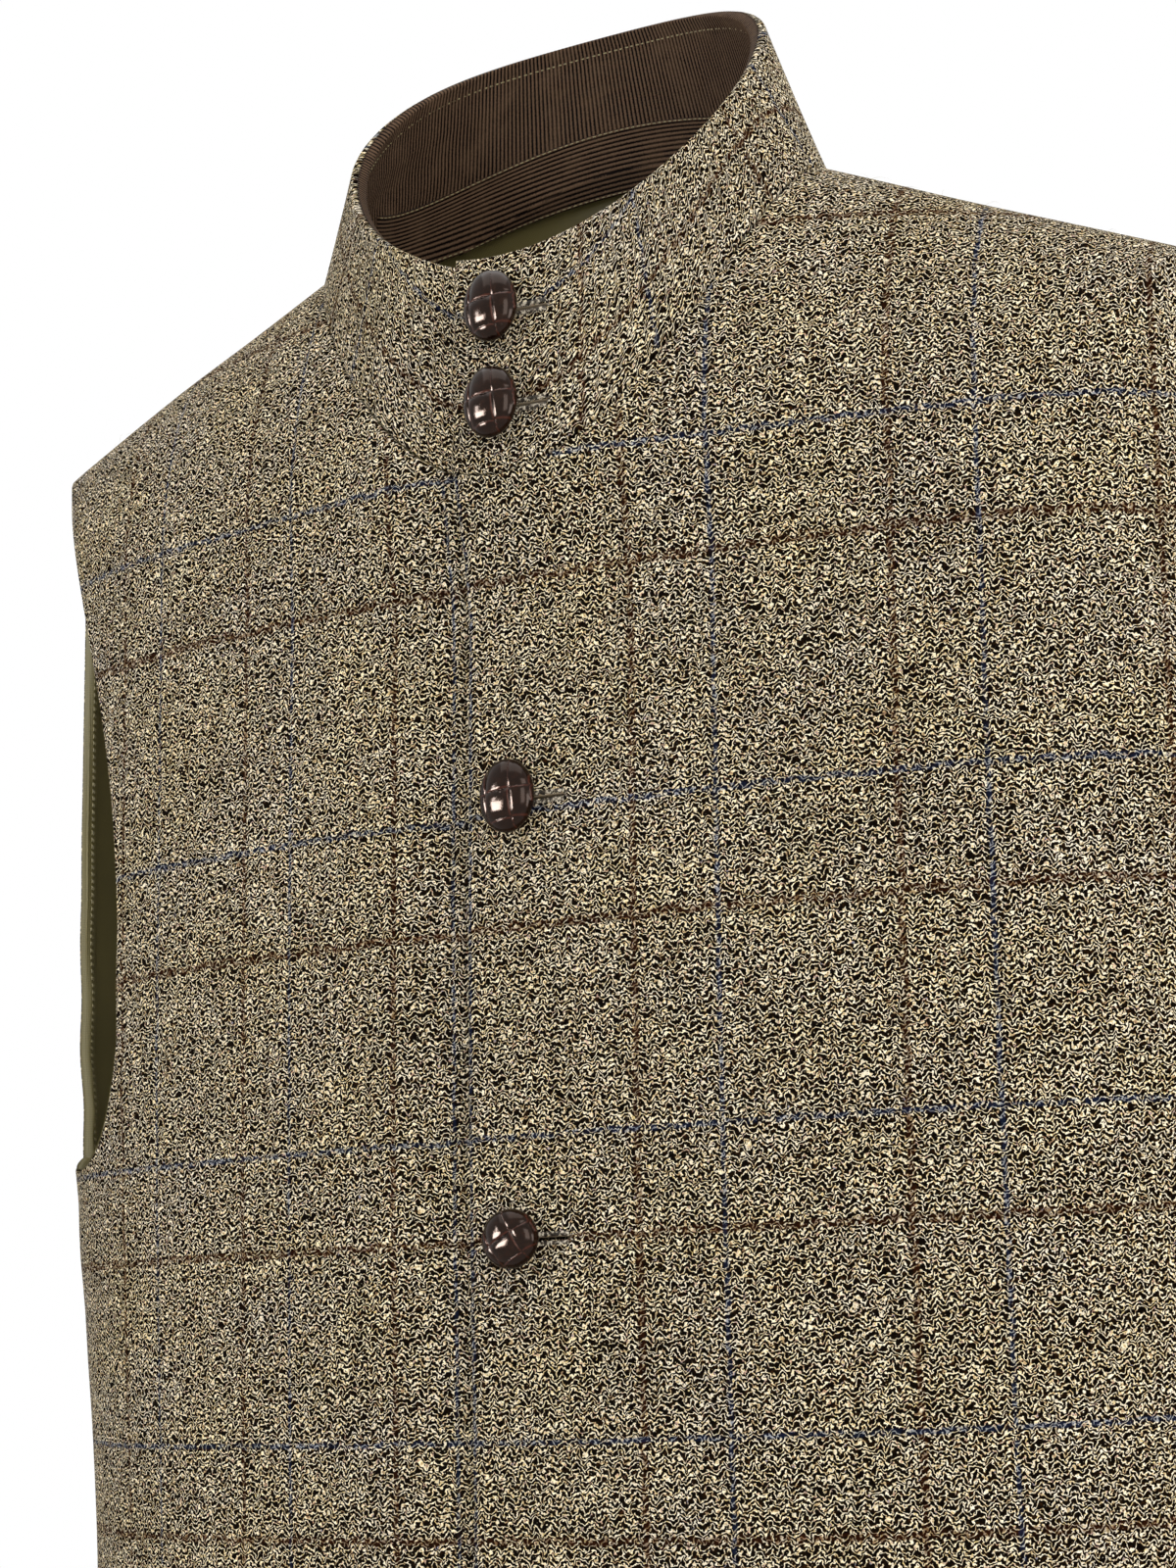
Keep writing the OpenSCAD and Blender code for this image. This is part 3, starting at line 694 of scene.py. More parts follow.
def weave_group():
    """Broken zigzag twill of pale and dark yarns, with coloured flecks: colour, pale mask and height."""
    inputs = [("Place", VECTOR), ("Yarn", FLOAT), ("Pale", COLOUR), ("Dark", COLOUR)]
    outputs = [("Colour", COLOUR), ("Mask", FLOAT), ("Height", FLOAT)]
    wires, inside, out = new_group("Tweed Weave", inputs, outputs)
    place = wires.vector("SCALE", inside["Place"])
    wires.feed(place.node.inputs["Scale"], wires.math("DIVIDE", 1.0, inside["Yarn"]))
    wander = wires.vector("SUBTRACT", wires.noise(place, 0.1, 1.0, 0.5, "Color"), (0.5, 0.5, 0.5))
    jitter = wires.vector("SUBTRACT", wires.noise(place, 0.34, 1.0, 0.5, "Color"), (0.5, 0.5, 0.5))
    moved = wires.vector("ADD", place, wires.scaled(wander, 8.0, 8.0, 0.0))
    moved = wires.vector("ADD", moved, wires.scaled(jitter, 6.5, 6.5, 0.0))
    x, y, _ = wires.split(moved)
    zigzag = wires.math("PINGPONG", x, 5.0)
    rib = wires.math("SINE", wires.math("MULTIPLY", wires.math("ADD", zigzag, y), math.tau / 4))
    mask = wires.smooth(rib, 0.38, 0.78)
    fleck = wires.noise(wires.vector("ADD", place, (71.0, 13.0, 0.0)), 0.24, 1.5, 0.6)
    flecks = wires.blend(
        fleck,
        [
            (0.0, dye("3a2010")),
            (1.0, dye("4d5f86")),
            (0.29, dye("7d4a1c")),
            (0.36, dye("b59a62")),
            (0.42, dye("e4d4ae")),
            (0.49, dye("fdf6e6")),
            (0.555, dye("e9e1d3")),
            (0.60, dye("d6bc55")),
            (0.64, dye("c9b9bd")),
            (0.68, dye("a9682a")),
            (0.73, dye("5f7099")),
        ],
    )
    pale = wires.mix(0.78, inside["Pale"], flecks)
    soot = wires.noise(wires.vector("ADD", place, (5.0, 91.0, 0.0)), 0.3, 1.0, 0.6)
    deep = wires.blend(
        soot,
        [(0.25, dye("030201")), (0.8, dye("4b2a14")), (0.5, dye("0c0805")), (0.64, dye("241709"))],
    )
    dark = wires.mix(0.6, inside["Dark"], deep)
    wires.feed(out["Colour"], wires.mix(mask, dark, pale))
    wires.feed(out["Mask"], mask)
    fuzz = wires.noise(place, 1.7, 2.0, 0.6)
    height = wires.math("ADD", wires.math("MULTIPLY", rib, 0.5), wires.math("MULTIPLY", fuzz, 0.5))
    wires.feed(out["Height"], height)
    return wires.tree


def check_group():
    """Brown and blue lines of the check, broken up as single yarns are: one mask for each."""
    wires, inside, out = new_group(
        "Check Lines", [("Place", VECTOR), ("Check", VECTOR)], [("Brown", FLOAT), ("Blue", FLOAT)]
    )
    breaks = wires.noise(inside["Place"], 430.0, 1.0, 0.5)
    wobble = wires.noise(inside["Place"], 150.0, 1.0, 0.5)
    sway = wires.math("MULTIPLY", wires.math("SUBTRACT", wobble, 0.5), 0.018)
    x, y, _ = wires.split(inside["Check"])
    for label, offset, half, strength in (("Brown", 0.0, 0.0125, 0.8), ("Blue", 0.325, 0.0085, 0.8)):
        lines = []
        for value in (x, y):
            local = wires.math("ADD", wires.math("SUBTRACT", value, offset), sway)
            apart = wires.math("PINGPONG", wires.math("ADD", local, 100.0), 0.5)
            lines.append(wires.smooth(apart, half * 0.7, half * 1.5, 1.0, 0.0))
        both = wires.math("MAXIMUM", *lines)
        broken = wires.smooth(breaks, 0.40, 0.60, 0.12, strength)
        wires.feed(out[label], wires.math("MULTIPLY", both, broken))
    return wires.tree


def plain_group():
    """Plain weave of fine yarns: height, and a mask of the crossings."""
    wires, inside, out = new_group(
        "Plain Weave", [("Place", VECTOR), ("Yarn", FLOAT)], [("Height", FLOAT), ("Mask", FLOAT)]
    )
    place = wires.vector("SCALE", inside["Place"])
    wires.feed(place.node.inputs["Scale"], wires.math("DIVIDE", 1.0, inside["Yarn"]))
    x, y, _ = wires.split(place)
    a = wires.math("SINE", wires.math("MULTIPLY", x, math.pi))
    b = wires.math("SINE", wires.math("MULTIPLY", y, math.pi))
    over = wires.math("MULTIPLY", a, b)
    slub = wires.noise(wires.scaled(place, 0.03, 0.5, 1.0), 1.0, 2.0, 0.5)
    wires.feed(out["Height"], wires.math("ADD", wires.math("ABSOLUTE", over), slub))
    wires.feed(out["Mask"], wires.smooth(over, -0.6, 0.6))
    return wires.tree


def group_named(name, maker):
    """The shared node group of that name, made the first time that it is asked for."""
    return bpy.data.node_groups.get(name) or maker()


def new_material(name, roughness, sheen=0.0, specular=0.3):
    """An empty Principled material, its wires and its shader."""
    material = bpy.data.materials.new(name)
    material.use_nodes = True
    wires = Wires(material.node_tree)
    shader = material.node_tree.nodes["Principled BSDF"]
    shader.inputs["Roughness"].default_value = roughness
    shader.inputs["Sheen Weight"].default_value = sheen
    shader.inputs["Specular IOR Level"].default_value = specular
    return material, wires, shader


def placed(wires, name, maker, **values):
    """A shared node group placed in a material, with its inputs set."""
    node = wires.put("ShaderNodeGroup", node_tree=group_named(name, maker))
    for key, value in values.items():
        wires.feed(node.inputs[key], value)
    return node.outputs


def mapped(wires, name):
    """Coordinates of a UV map."""
    return wires.put("ShaderNodeUVMap", uv_map=name).outputs[0]


def cached(maker):
    """Makes a material once and gives it again after that."""
    made = {}

    def give(values):
        if maker.__name__ not in made:
            made[maker.__name__] = maker(values)
        return made[maker.__name__]

    return give


@cached
def tweed(values):
    material, wires, shader = new_material("Tweed", 0.9, 0.0, 0.01)
    place, check = mapped(wires, "weave"), mapped(wires, "check")
    woven = placed(
        wires, "Tweed Weave", weave_group, Place=place, Yarn=values.yarn, Pale=values.cream, Dark=values.dark
    )
    lines = placed(wires, "Check Lines", check_group, Place=place, Check=check)
    brown = wires.mix(woven["Mask"], dye("2a1206"), values.brown)
    blue = wires.mix(woven["Mask"], values.blue, dye("6f7d97"))
    shade = wires.mix(lines["Brown"], woven["Colour"], brown)
    shade = wires.mix(lines["Blue"], shade, blue)
    across = wires.noise(wires.scaled(place, 14.0, 900.0, 1.0), 1.0, 2.0, 0.6)
    along = wires.noise(wires.scaled(place, 900.0, 14.0, 1.0), 1.0, 2.0, 0.6)
    slubs = wires.smooth(wires.math("ADD", across, along), 0.6, 1.4, 0.72, 1.28)
    shade = wires.mix(1.0, shade, wires.join(slubs, slubs, slubs), "MULTIPLY")
    patches = wires.noise(place, 26.0, 3.0, 0.55)
    tint = wires.blend(patches, [(0.3, (0.98, 0.95, 0.93)), (0.7, (1.03, 0.97, 0.81))])
    shade = wires.mix(1.0, shade, tint, "MULTIPLY")
    wires.feed(shader.inputs["Base Color"], shade)
    wires.feed(shader.inputs["Roughness"], wires.smooth(woven["Mask"], 0.0, 1.0, 0.95, 0.8))
    wires.feed(shader.inputs["Normal"], wires.bump(woven["Height"], 0.55, 0.0005))
    return material


@cached
def lining(values):
    material, wires, shader = new_material("Olive lining", 0.62, 0.1, 0.3)
    place = mapped(wires, "weave")
    woven = placed(wires, "Plain Weave", plain_group, Place=place, Yarn=0.00045)
    fuzz = placed(wires, "Fibres", fibre_group, Place=place, Size=0.004)
    shade = wires.mix(woven["Mask"], toned(values.olive, 0.72), values.olive)
    shade = wires.mix(wires.math("MULTIPLY", fuzz["Mottle"], 0.5), shade, toned(values.olive, 1.5))
    wires.feed(shader.inputs["Base Color"], shade)
    wires.feed(shader.inputs["Roughness"], wires.smooth(fuzz["Mottle"], 0.2, 0.8, 0.55, 0.72))
    wires.feed(shader.inputs["Normal"], wires.bump(woven["Height"], 0.3, 0.0002))
    return material


@cached
def corduroy(values):
    material, wires, shader = new_material("Brown corduroy", 0.85, 0.06, 0.02)
    shader.inputs["Sheen Roughness"].default_value = 0.4
    place = mapped(wires, "weave")
    rise = mapped(wires, "rib")
    fuzz = placed(wires, "Fibres", fibre_group, Place=place, Size=0.0006)
    height, _, _ = wires.split(rise)
    pile = wires.math("ADD", height, wires.math("MULTIPLY", wires.math("SUBTRACT", fuzz["Height"], 0.5), 0.9))
    # Painted shade: the lower the pile, the nearer the colour comes to the dark groove colour
    shade = wires.mix(wires.smooth(pile, 0.48, 1.05), values.groove, values.rib)
    worn = wires.noise(place, 60.0, 3.0, 0.6)
    shade = wires.mix(wires.smooth(worn, 0.45, 0.75, 0.0, 0.3), shade, dye("6d5743"))
    wires.feed(shader.inputs["Base Color"], shade)
    wires.feed(shader.inputs["Roughness"], wires.smooth(fuzz["Mottle"], 0.2, 0.8, 0.72, 0.9))
    wires.feed(shader.inputs["Normal"], wires.bump(fuzz["Height"], 0.4, 0.0003))
    return material


@cached
def canvas(values):
    material, wires, shader = new_material("Collar canvas", 0.85, 0.05, 0.2)
    place = mapped(wires, "weave")
    woven = placed(wires, "Plain Weave", plain_group, Place=place, Yarn=0.0007)
    shade = wires.mix(woven["Mask"], toned(values.canvas, 0.6), values.canvas)
    wires.feed(shader.inputs["Base Color"], shade)
    wires.feed(shader.inputs["Normal"], wires.bump(woven["Height"], 0.4, 0.0003))
    return material


def thread_material(name, shade, pale=None, deep=None):
    """Twisted sewing thread: fine slanted plies with painted shade between them and painted light on their
    crests, or a mixture of pale and deep yarns where these are given.
    """
    material, wires, shader = new_material(name, 0.7, 0.1, 0.3)
    place = wires.put("ShaderNodeTexCoord").outputs["Object"]
    fuzz = placed(wires, "Fibres", fibre_group, Place=place, Size=0.0005)
    x, y, z = wires.split(place)
    ply = wires.math("SINE", wires.math("MULTIPLY", wires.math("ADD", wires.math("ADD", x, y), z), 9000.0))
    tone = wires.math("ADD", wires.math("MULTIPLY", ply, 0.5), fuzz["Height"])
    # Painted shade between the plies and painted light on their crests, from the ply relief that the bump also
    # uses
    colours = wires.mix(wires.smooth(tone, -0.2, 1.2), toned(shade, 0.45), toned(shade, 1.25))
    if pale:
        spun = wires.noise(place, 900.0, 1.0, 0.5)
        colours = wires.mix(wires.smooth(spun, 0.5, 0.6, 0.0, 0.75), colours, pale)
        colours = wires.mix(wires.smooth(spun, 0.4, 0.5, 0.85, 0.0), colours, deep)
    wires.feed(shader.inputs["Base Color"], colours)
    wires.feed(shader.inputs["Normal"], wires.bump(tone, 0.3, 0.0001))
    return material


@cached
def tweed_thread(values):
    return thread_material("Brown thread", values.thread, values.cream, values.dark)


@cached
def lining_thread(values):
    return thread_material("Olive thread", values.lining_thread)


@cached
def fibre(values):
    return thread_material("Stray wool", values.stray)


@cached
def leather(values):
    material, wires, shader = new_material("Woven leather", 0.2, 0.0, 0.2)
    shader.inputs["Specular Tint"].default_value = (1.0, 0.72, 0.58, 1.0)
    shader.inputs["Coat Weight"].default_value = 0.08
    shader.inputs["Coat Roughness"].default_value = 0.03
    place = wires.put("ShaderNodeTexCoord").outputs["Object"]
    edge = wires.put("ShaderNodeAttribute", attribute_name="edge").outputs["Fac"]
    grain = wires.put("ShaderNodeTexVoronoi", feature="DISTANCE_TO_EDGE")
    wires.feed(grain.inputs["Vector"], place)
    grain.inputs["Scale"].default_value = 2600.0
    mottle = wires.noise(place, 420.0, 3.0, 0.6)
    dull, bright = toned(values.leather, 0.6), toned(values.leather, 1.7)
    face = wires.mix(wires.smooth(mottle, 0.35, 0.75), dull, bright)
    rub = wires.math("MULTIPLY", edge, wires.smooth(mottle, 0.2, 0.6, 0.45, 1.0))
    wires.feed(shader.inputs["Base Color"], wires.mix(rub, face, values.edge))
    wires.feed(shader.inputs["Roughness"], wires.smooth(mottle, 0.3, 0.8, 0.05, 0.1))
    pores = wires.smooth(grain.outputs["Distance"], 0.0, 0.12)
    wires.feed(shader.inputs["Normal"], wires.bump(pores, 0.06, 0.0001))
    return material


def front_rows(form, roll, start=0.0):
    """Rows of a body panel from the hem, or from above it, to the neck seam, close together where it turns."""
    arm = form.underarm + (1 - form.underarm) * (1 - cos(180 * np.arange(61) / 60)) / 2
    hem = start + ROLL * roll / form.yoke_z(0.0)
    neck = 2 - ROLL * roll / 0.17
    return spread(hem, np.linspace(hem[-1], form.underarm, 40), arm, np.linspace(1, neck[-1], 34), neck)


def front_columns(form, t, first, last_x, roll, count, to_side, seam, mirror):
    """Angles of a front's columns on each row, and their distances from the two ends."""
    ends = first + ROLL * roll
    near = spread(ends, np.linspace(ends[-1], last_x, count))
    psi = form.row_angle(near[None, :], t[:, None])
    x = np.broadcast_to(near[None, :], psi.shape)
    if not to_side:
        psi = form.row_angle(spread(near, last_x - ROLL * roll)[None, :], t[:, None])
        x = np.broadcast_to(spread(near, last_x - ROLL * roll)[None, :], psi.shape)
        return psi, x - first, last_x - x
    side = form.front_side(t, mirror) - seam
    radius = 0.2
    turn = np.degrees(roll / radius)
    shares = np.linspace(0, 1, 52)[1:]
    reach = side - turn - psi[:, -1]
    middle = psi[:, -1:] + reach[:, None] * shares[None, :]
    edge = side[:, None] - (turn * ROLL[:-1])[None, ::-1]
    psi = np.concatenate((psi, middle, edge), 1)
    first_w = np.concatenate((x - first, np.full(middle.shape, 1.0), np.full(edge.shape, 1.0)), 1)
    side_w = np.radians(side[:, None] - psi) * radius
    return psi, first_w, side_w


def front_sheet(form, name, side, depth, thick, part, edge_meet, start=0.0):
    """One layer of a front: part is whole, edge for the facing or side for the lining."""
    mirror = dict(SIDES)[side]
    roll = 0.0009 if part != "edge" else 0.0006
    middle = depth + thick / 2
    t = front_rows(form, roll, start)
    gap = 0.0003
    first = form.facing_w + gap if part == "side" else -form.lap
    first_roll = max(abs(edge_meet - depth), abs(edge_meet - depth - thick)) if part != "side" else thick / 2
    last = form.facing_w + 0.004 if part == "side" else form.facing_w
    psi, first_w, last_w = front_columns(form, t, first, last, first_roll, 20, part != "edge", 0.03, mirror)
    rows = np.broadcast_to(t[:, None], psi.shape)
    hem_w = (rows - start) * form.yoke_z(psi)
    neck_w = (2 - rows) * 0.17
    under = 0.0
    if side == "right":
        under = form.drop(form.body(psi, rows)[..., 0])
    faces = []
    for face in (depth, depth + thick):
        meet = edge_meet if part != "side" else middle
        edges = [(meet, first_w), (middle, last_w), (middle, hem_w), (middle, neck_w)]
        faces.append(form.skin(psi, rows, rolled(face, edges) + under, mirror))
    flat = form.grain(psi, rows, 0)
    check = check_place(side, flat[..., 0], flat[..., 1])
    flat = flat * (mirror, 1)
    return cloth(name, faces[0], faces[1], {"weave": flat, "check": check}, mirror < 0), faces[0], flat


def back_sheet(form, name, depth, thick, start=0.0):
    """One layer of the back."""
    roll, radius = 0.0009, 0.2
    middle = depth + thick / 2
    t = front_rows(form, roll, start)
    turn = np.degrees(roll / radius)
    first, last = form.back_side(t, 1) + 0.03, 360 - form.back_side(t, -1) - 0.03
    shares = np.linspace(0, 1, 111)
    main = (first + turn)[:, None] + (last - first - 2 * turn)[:, None] * shares[None, :]
    ends = (turn * ROLL[:-1])[None, :]
    psi = np.concatenate((first[:, None] + ends, main, last[:, None] - ends[:, ::-1]), 1)
    rows = np.broadcast_to(t[:, None], psi.shape)
    side_w = np.radians(np.minimum(psi - first[:, None], last[:, None] - psi)) * radius
    edges = [(middle, side_w), (middle, (rows - start) * form.yoke_z(psi)), (middle, (2 - rows) * 0.17)]
    faces = [form.skin(psi, rows, rolled(face, edges)) for face in (depth, depth + thick)]
    half = np.where(psi > 180, 360 - psi, psi)
    flat = form.grain(half, rows, 180) * np.stack((np.where(psi > 180, 1, -1), np.ones_like(psi)), -1)
    check = check_place("back", flat[..., 0], flat[..., 1])
    return cloth(name, faces[0], faces[1], {"weave": flat, "check": check}), faces[0], flat


def keyhole_outline(buttons, step):
    """Places round a buttonhole and the ways outward: an oblong eye at the shank and a slit from it."""
    eye, slit = buttons.hole_w / 2, buttons.slit_w / 2
    back, fore = -buttons.eye_back, buttons.eye_fore
    far = buttons.hole_len - buttons.eye_back - eye - slit
    bend = math.asin(slit / eye)
    neck = fore + eye * math.cos(bend)
    places, outward = [], []

    def line(start, end, y):
        for x in np.linspace(start, end, max(2, int(abs(end - start) / step)), endpoint=False):
            places.append((x, y))
            outward.append((0.0, math.copysign(1.0, y)))

    def arc(x, radius, start, end):
        for a in np.linspace(start, end, max(3, int(radius * (end - start) / step)), endpoint=False):
            places.append((x + radius * math.cos(a), radius * math.sin(a)))
            outward.append((math.cos(a), math.sin(a)))

    line(far, neck, slit)
    arc(fore, eye, bend, math.pi / 2)
    line(fore, back, eye)
    arc(back, eye, math.pi / 2, 1.5 * math.pi)
    line(back, fore, -eye)
    arc(fore, eye, 1.5 * math.pi, math.tau - bend)
    line(neck, far, -slit)
    arc(far, slit, -math.pi / 2, math.pi / 2)
    return places, outward


def keyhole(form, buttons, i):
    """A closed cutter for buttonhole i."""
    point, normal = form.button(i)
    outline, _ = keyhole_outline(buttons, 0.0009)
    depth = 0.009
    axes = button_axes(normal)
    rings = [point + axes[0] * x + axes[1] * y + axes[2] * z for z in (-depth, depth) for x, y in outline]
    count = len(outline)
    faces = [[k, (k + 1) % count, (k + 1) % count + count, k + count] for k in range(count)]
    mesh = bpy.data.meshes.new("keyhole")
    mesh.from_pydata(rings, [], faces + [list(range(count))[::-1], list(range(count, 2 * count))])
    cutter = bpy.data.objects.new("keyhole", mesh)
    bpy.context.scene.collection.objects.link(cutter)
    return cutter


def button_axes(normal):
    """Local axes of a button: across, up and out of the cloth."""
    across = np.array((1.0, 0.0, 0.0))
    return across, np.cross(normal, across), np.asarray(normal)


def cut_keyholes(piece, form, buttons, numbers):
    """Cuts the buttonholes into a piece of cloth."""
    for i in numbers:
        cutter = keyhole(form, buttons, i)
        cut = piece.modifiers.new("Buttonhole", "BOOLEAN")
        cut.operation, cut.solver, cut.object = "DIFFERENCE", "MANIFOLD", cutter
        evaluated = piece.evaluated_get(bpy.context.evaluated_depsgraph_get())
        mesh = bpy.data.meshes.new_from_object(evaluated)
        piece.modifiers.remove(cut)
        old = piece.data
        piece.data = mesh
        bpy.data.meshes.remove(old)
        bpy.data.objects.remove(cutter)
        mesh.name = piece.name


def collar_sheet(form, name, depth, thick, meet, wale=0.0, wale_h=0.0, hidden=False):
    """One layer of the collar. With a wale its inner face is ribbed from the seam to the top."""
    top = max(abs(meet - depth), abs(meet - depth - thick))
    high = form.collar_front_h
    s = spread(
        ROLL * thick / high,
        np.linspace(thick / high, 0.12, 5),
        np.linspace(0.12, 1 - top / high, 12),
        1 - ROLL * top / high,
    )
    if hidden:
        s = np.linspace(0.01, 0.96, 14)
    step = wale / 5 if wale else 0.004
    mid_half = form.collar_half_at(0.5)
    around = np.linspace(0, 360, 721)
    line = form.collar(around, np.full_like(around, 0.5))
    arc = np.concatenate(([0], np.cumsum(np.linalg.norm(np.diff(line, axis=0), axis=-1))))
    first = -form.lap + (0.002 if hidden else 0.0)
    last = arc[-1] - first
    ends = first + ROLL * top
    between = np.arange(ends[-1] + step / 2, last - (ends[-1] - first) - step / 2, step)
    places = spread(ends, between, last - ROLL * top)
    inside = np.clip(places, 0, arc[-1])
    angle = np.interp(inside, arc, around)
    before = -np.degrees(np.arcsin(np.clip(-places, 0, None) / mid_half))
    after = np.degrees(np.arcsin(np.clip(places - arc[-1], 0, None) / mid_half))
    mid_angle = np.where(places < 0, before, np.where(places > arc[-1], 360 + after, angle))
    # Near the lap the columns keep their distance from the centre line on every row
    x = mid_half * sin(mid_angle)
    psi = np.repeat(mid_angle[None, :], len(s), 0)
    flat_end = np.degrees(np.arcsin(np.clip(x[None, :] / form.collar_half_at(s)[:, None], -1, 1)))
    near_first, near_last = mid_angle < 40, mid_angle > 320
    fade = 1 - ramp(np.minimum(abs(mid_angle), abs(mid_angle - 360)), 15, 40)[None, :]
    psi = np.where(near_first[None, :], psi + (flat_end - psi) * fade, psi)
    psi = np.where(near_last[None, :], psi + (360 + flat_end - psi) * fade, psi)
    rows = np.broadcast_to(s[:, None], psi.shape)
    under = np.where(psi > 300, form.drop(-form.collar_half_at(rows) * sin(psi)), 0)
    end_w = np.broadcast_to(np.minimum(places - first, last - places)[None, :], psi.shape)
    top_w = (1 - rows) * high
    rib = np.zeros_like(psi)
    if wale:
        rib = np.broadcast_to(wale_profile(places / wale)[None, :], psi.shape)
    crease = 0.0007 * np.sin(rows * 19 + 2.2 * np.sin(places[None, :] * 31) + places[None, :] * 22)
    crease = crease * (0.5 + 0.5 * np.sin(places[None, :] * 17 + 1.0))
    faces = []
    for face in (depth, depth + thick):
        edges = [(meet, end_w), (meet, top_w)]
        if not wale and face == depth:
            edges.append((depth + 0.6 * thick, rows * high))
        d = np.full(psi.shape, face) if hidden else rolled(face, edges)
        inner_face = face > depth
        d = d + under + (wale_h * (rib - 1) if wale and inner_face else 0)
        if wale and inner_face:
            rim = 0.0016 * (1 - ramp(top_w, 0.0, 0.007)) * ramp(top_w, 0.0, 0.002)
            sewn = 0.0005 * np.exp(-(((top_w - 0.006) / 0.0011) ** 2))
            d = d + rim - sewn
            d = d + crease * ramp(top_w, 0.01, 0.02) * ramp(rows * high, 0.0, 0.012)
        faces.append(form.collar_skin(psi, rows, d))
    height = form.collar_height(mid_angle)
    flat = np.stack((np.broadcast_to(places[None, :], psi.shape), rows * height[None, :]), -1)
    check = np.stack(((flat[..., 0] - 0.030) / 0.083, (flat[..., 1] - 0.118) / 0.095), -1)
    ribs = np.stack((rib, np.zeros_like(rib)), -1)
    maps = {"weave": flat, "check": check, "rib": ribs}
    return cloth(name, faces[0], faces[1], maps), faces[0], flat


def wale_profile(turns):
    """Height of a corduroy wale, 0 in the groove and 1 on its round top."""
    return abs(np.sin(np.pi * turns)) ** 0.7


def stitch_line(points, normals, pitch, share, radius, sunk=0.3):
    """A row of stitches along a line of points: each a short rounded thread that lies on the cloth."""
    steps = np.linalg.norm(np.diff(points, axis=0), axis=-1)
    along = np.concatenate(([0], np.cumsum(steps)))
    count = max(1, int(along[-1] / pitch))
    shares = np.array((0.0, 0.12, 0.5, 0.88, 1.0))
    thick = np.array((0.35, 0.85, 1.0, 0.85, 0.35))
    lift = np.array((-0.9, 0.1, 0.5, 0.1, -0.9))
    sides = 6
    verts, faces = [], []
    for k in range(count):
        at = (k + 0.5 - share / 2 + share * shares) * along[-1] / count
        line = np.stack([np.interp(at, along, points[:, c]) for c in range(3)], -1)
        up = unit(np.stack([np.interp(at, along, normals[:, c]) for c in range(3)], -1))
        forward = unit(np.gradient(line, axis=0))
        aside = unit(np.cross(forward, up))
        base = len(verts) * sides
        for r in range(len(shares)):
            turn = math.tau * np.arange(sides) / sides
            ring = np.cos(turn)[:, None] * aside[r] + np.sin(turn)[:, None] * up[r]
            verts.append(line[r] + up[r] * radius * (lift[r] - sunk) + ring * radius * thick[r])
        for r in range(len(shares) - 1):
            for c in range(sides):
                a, b = base + r * sides + c, base + r * sides + (c + 1) % sides
                faces.append((a, b, b + sides, a + sides))
        low, high = base, base + (len(shares) - 1) * sides
        faces += [(low, low + 3, low + 2, low + 1), (low, low + 5, low + 4, low + 3)]
        faces += [(high, high + 1, high + 2, high + 3), (high, high + 3, high + 4, high + 5)]
    return np.concatenate(verts), faces


def stitched(name, lines, pitch, share, radius, sunk=0.3):
    """One piece that holds several rows of stitches."""
    points, faces = [], []
    for line, normals in lines:
        p, f = stitch_line(line, normals, pitch, share, radius, sunk)
        base = sum(len(q) for q in points)
        faces += [tuple(v + base for v in face) for face in f]
        points.append(p)
    return new_piece(name, np.concatenate(points), faces)


def settings(context):
    """The body form, and the values of the cloth and the buttons."""
    scene = context.scene
    return Form(scene.gilet_shape), scene.gilet_cloth, scene.gilet_buttons


class GILET_OT_fronts(bpy.types.Operator):
    """Make both tweed fronts and the facings behind their edges"""

    bl_idname = "gilet.fronts"
    bl_label = "Fronts"

    def execute(self, context):
        form, values, buttons = settings(context)
        facing_d = values.tweed_t + values.layer_gap
        meet = (facing_d + values.facing_t) / 2
        for side, _ in SIDES:
            piece, outer, flat = front_sheet(
                form, f"{side}_front_cloth", side, 0.0, values.tweed_t, "whole", meet
            )
            facing, f_outer, f_flat = front_sheet(
                form, f"{side}_front_facing_cloth", side, facing_d, values.facing_t, "edge", meet
            )
            if side == "left":
                numbers = [i for i in BUTTONS if i not in COLLAR_BUTTONS]
                cut_keyholes(piece, form, buttons, numbers)
                cut_keyholes(facing, form, buttons, numbers)
            settle(piece, tweed(values), f"front_{side}")
            settle(facing, tweed(values), f"front_facing_{side}")
            declare_sheet(piece, outer, flat)
            declare_sheet(facing, f_outer, f_flat)
        return {"FINISHED"}


class GILET_OT_back(bpy.types.Operator):
    """Make the tweed back"""

    bl_idname = "gilet.back"
    bl_label = "Back"

    def execute(self, context):
        form, values, _ = settings(context)
        piece, outer, flat = back_sheet(form, "back_cloth", 0.0, values.tweed_t)
        settle(piece, tweed(values), "back_panel")
        declare_sheet(piece, outer, flat)
        return {"FINISHED"}


class GILET_OT_linings(bpy.types.Operator):
    """Make the olive linings and the seam down the middle of the back lining"""

    bl_idname = "gilet.linings"
    bl_label = "Linings"

    def execute(self, context):
        form, values, _ = settings(context)
        depth = values.tweed_t + values.layer_gap
        start = form.lining_hem / form.tip_z
        for side, _ in SIDES:
            piece, outer, flat = front_sheet(
                form, f"{side}_front_lining", side, depth, values.lining_t, "side", depth, start
            )
            settle(piece, lining(values), f"lining_front_{side}")
            declare_sheet(piece, outer, flat)
        piece, outer, flat = back_sheet(form, "back_lining", depth, values.lining_t, start)
        settle(piece, lining(values), "lining_back")
        declare_sheet(piece, outer, flat)
        t = np.linspace(start + 0.01, 1.82, 400)
        psi = np.full_like(t, 180.0)
        line = form.skin(psi, t, np.full_like(t, depth + values.lining_t))
        rows = [(line, -form.body_normal(psi, t))]
        seam = stitched("back_lining_seam", rows, values.stitch * 1.3, 0.75, 0.0002)
        settle(seam, lining_thread(values))
        return {"FINISHED"}


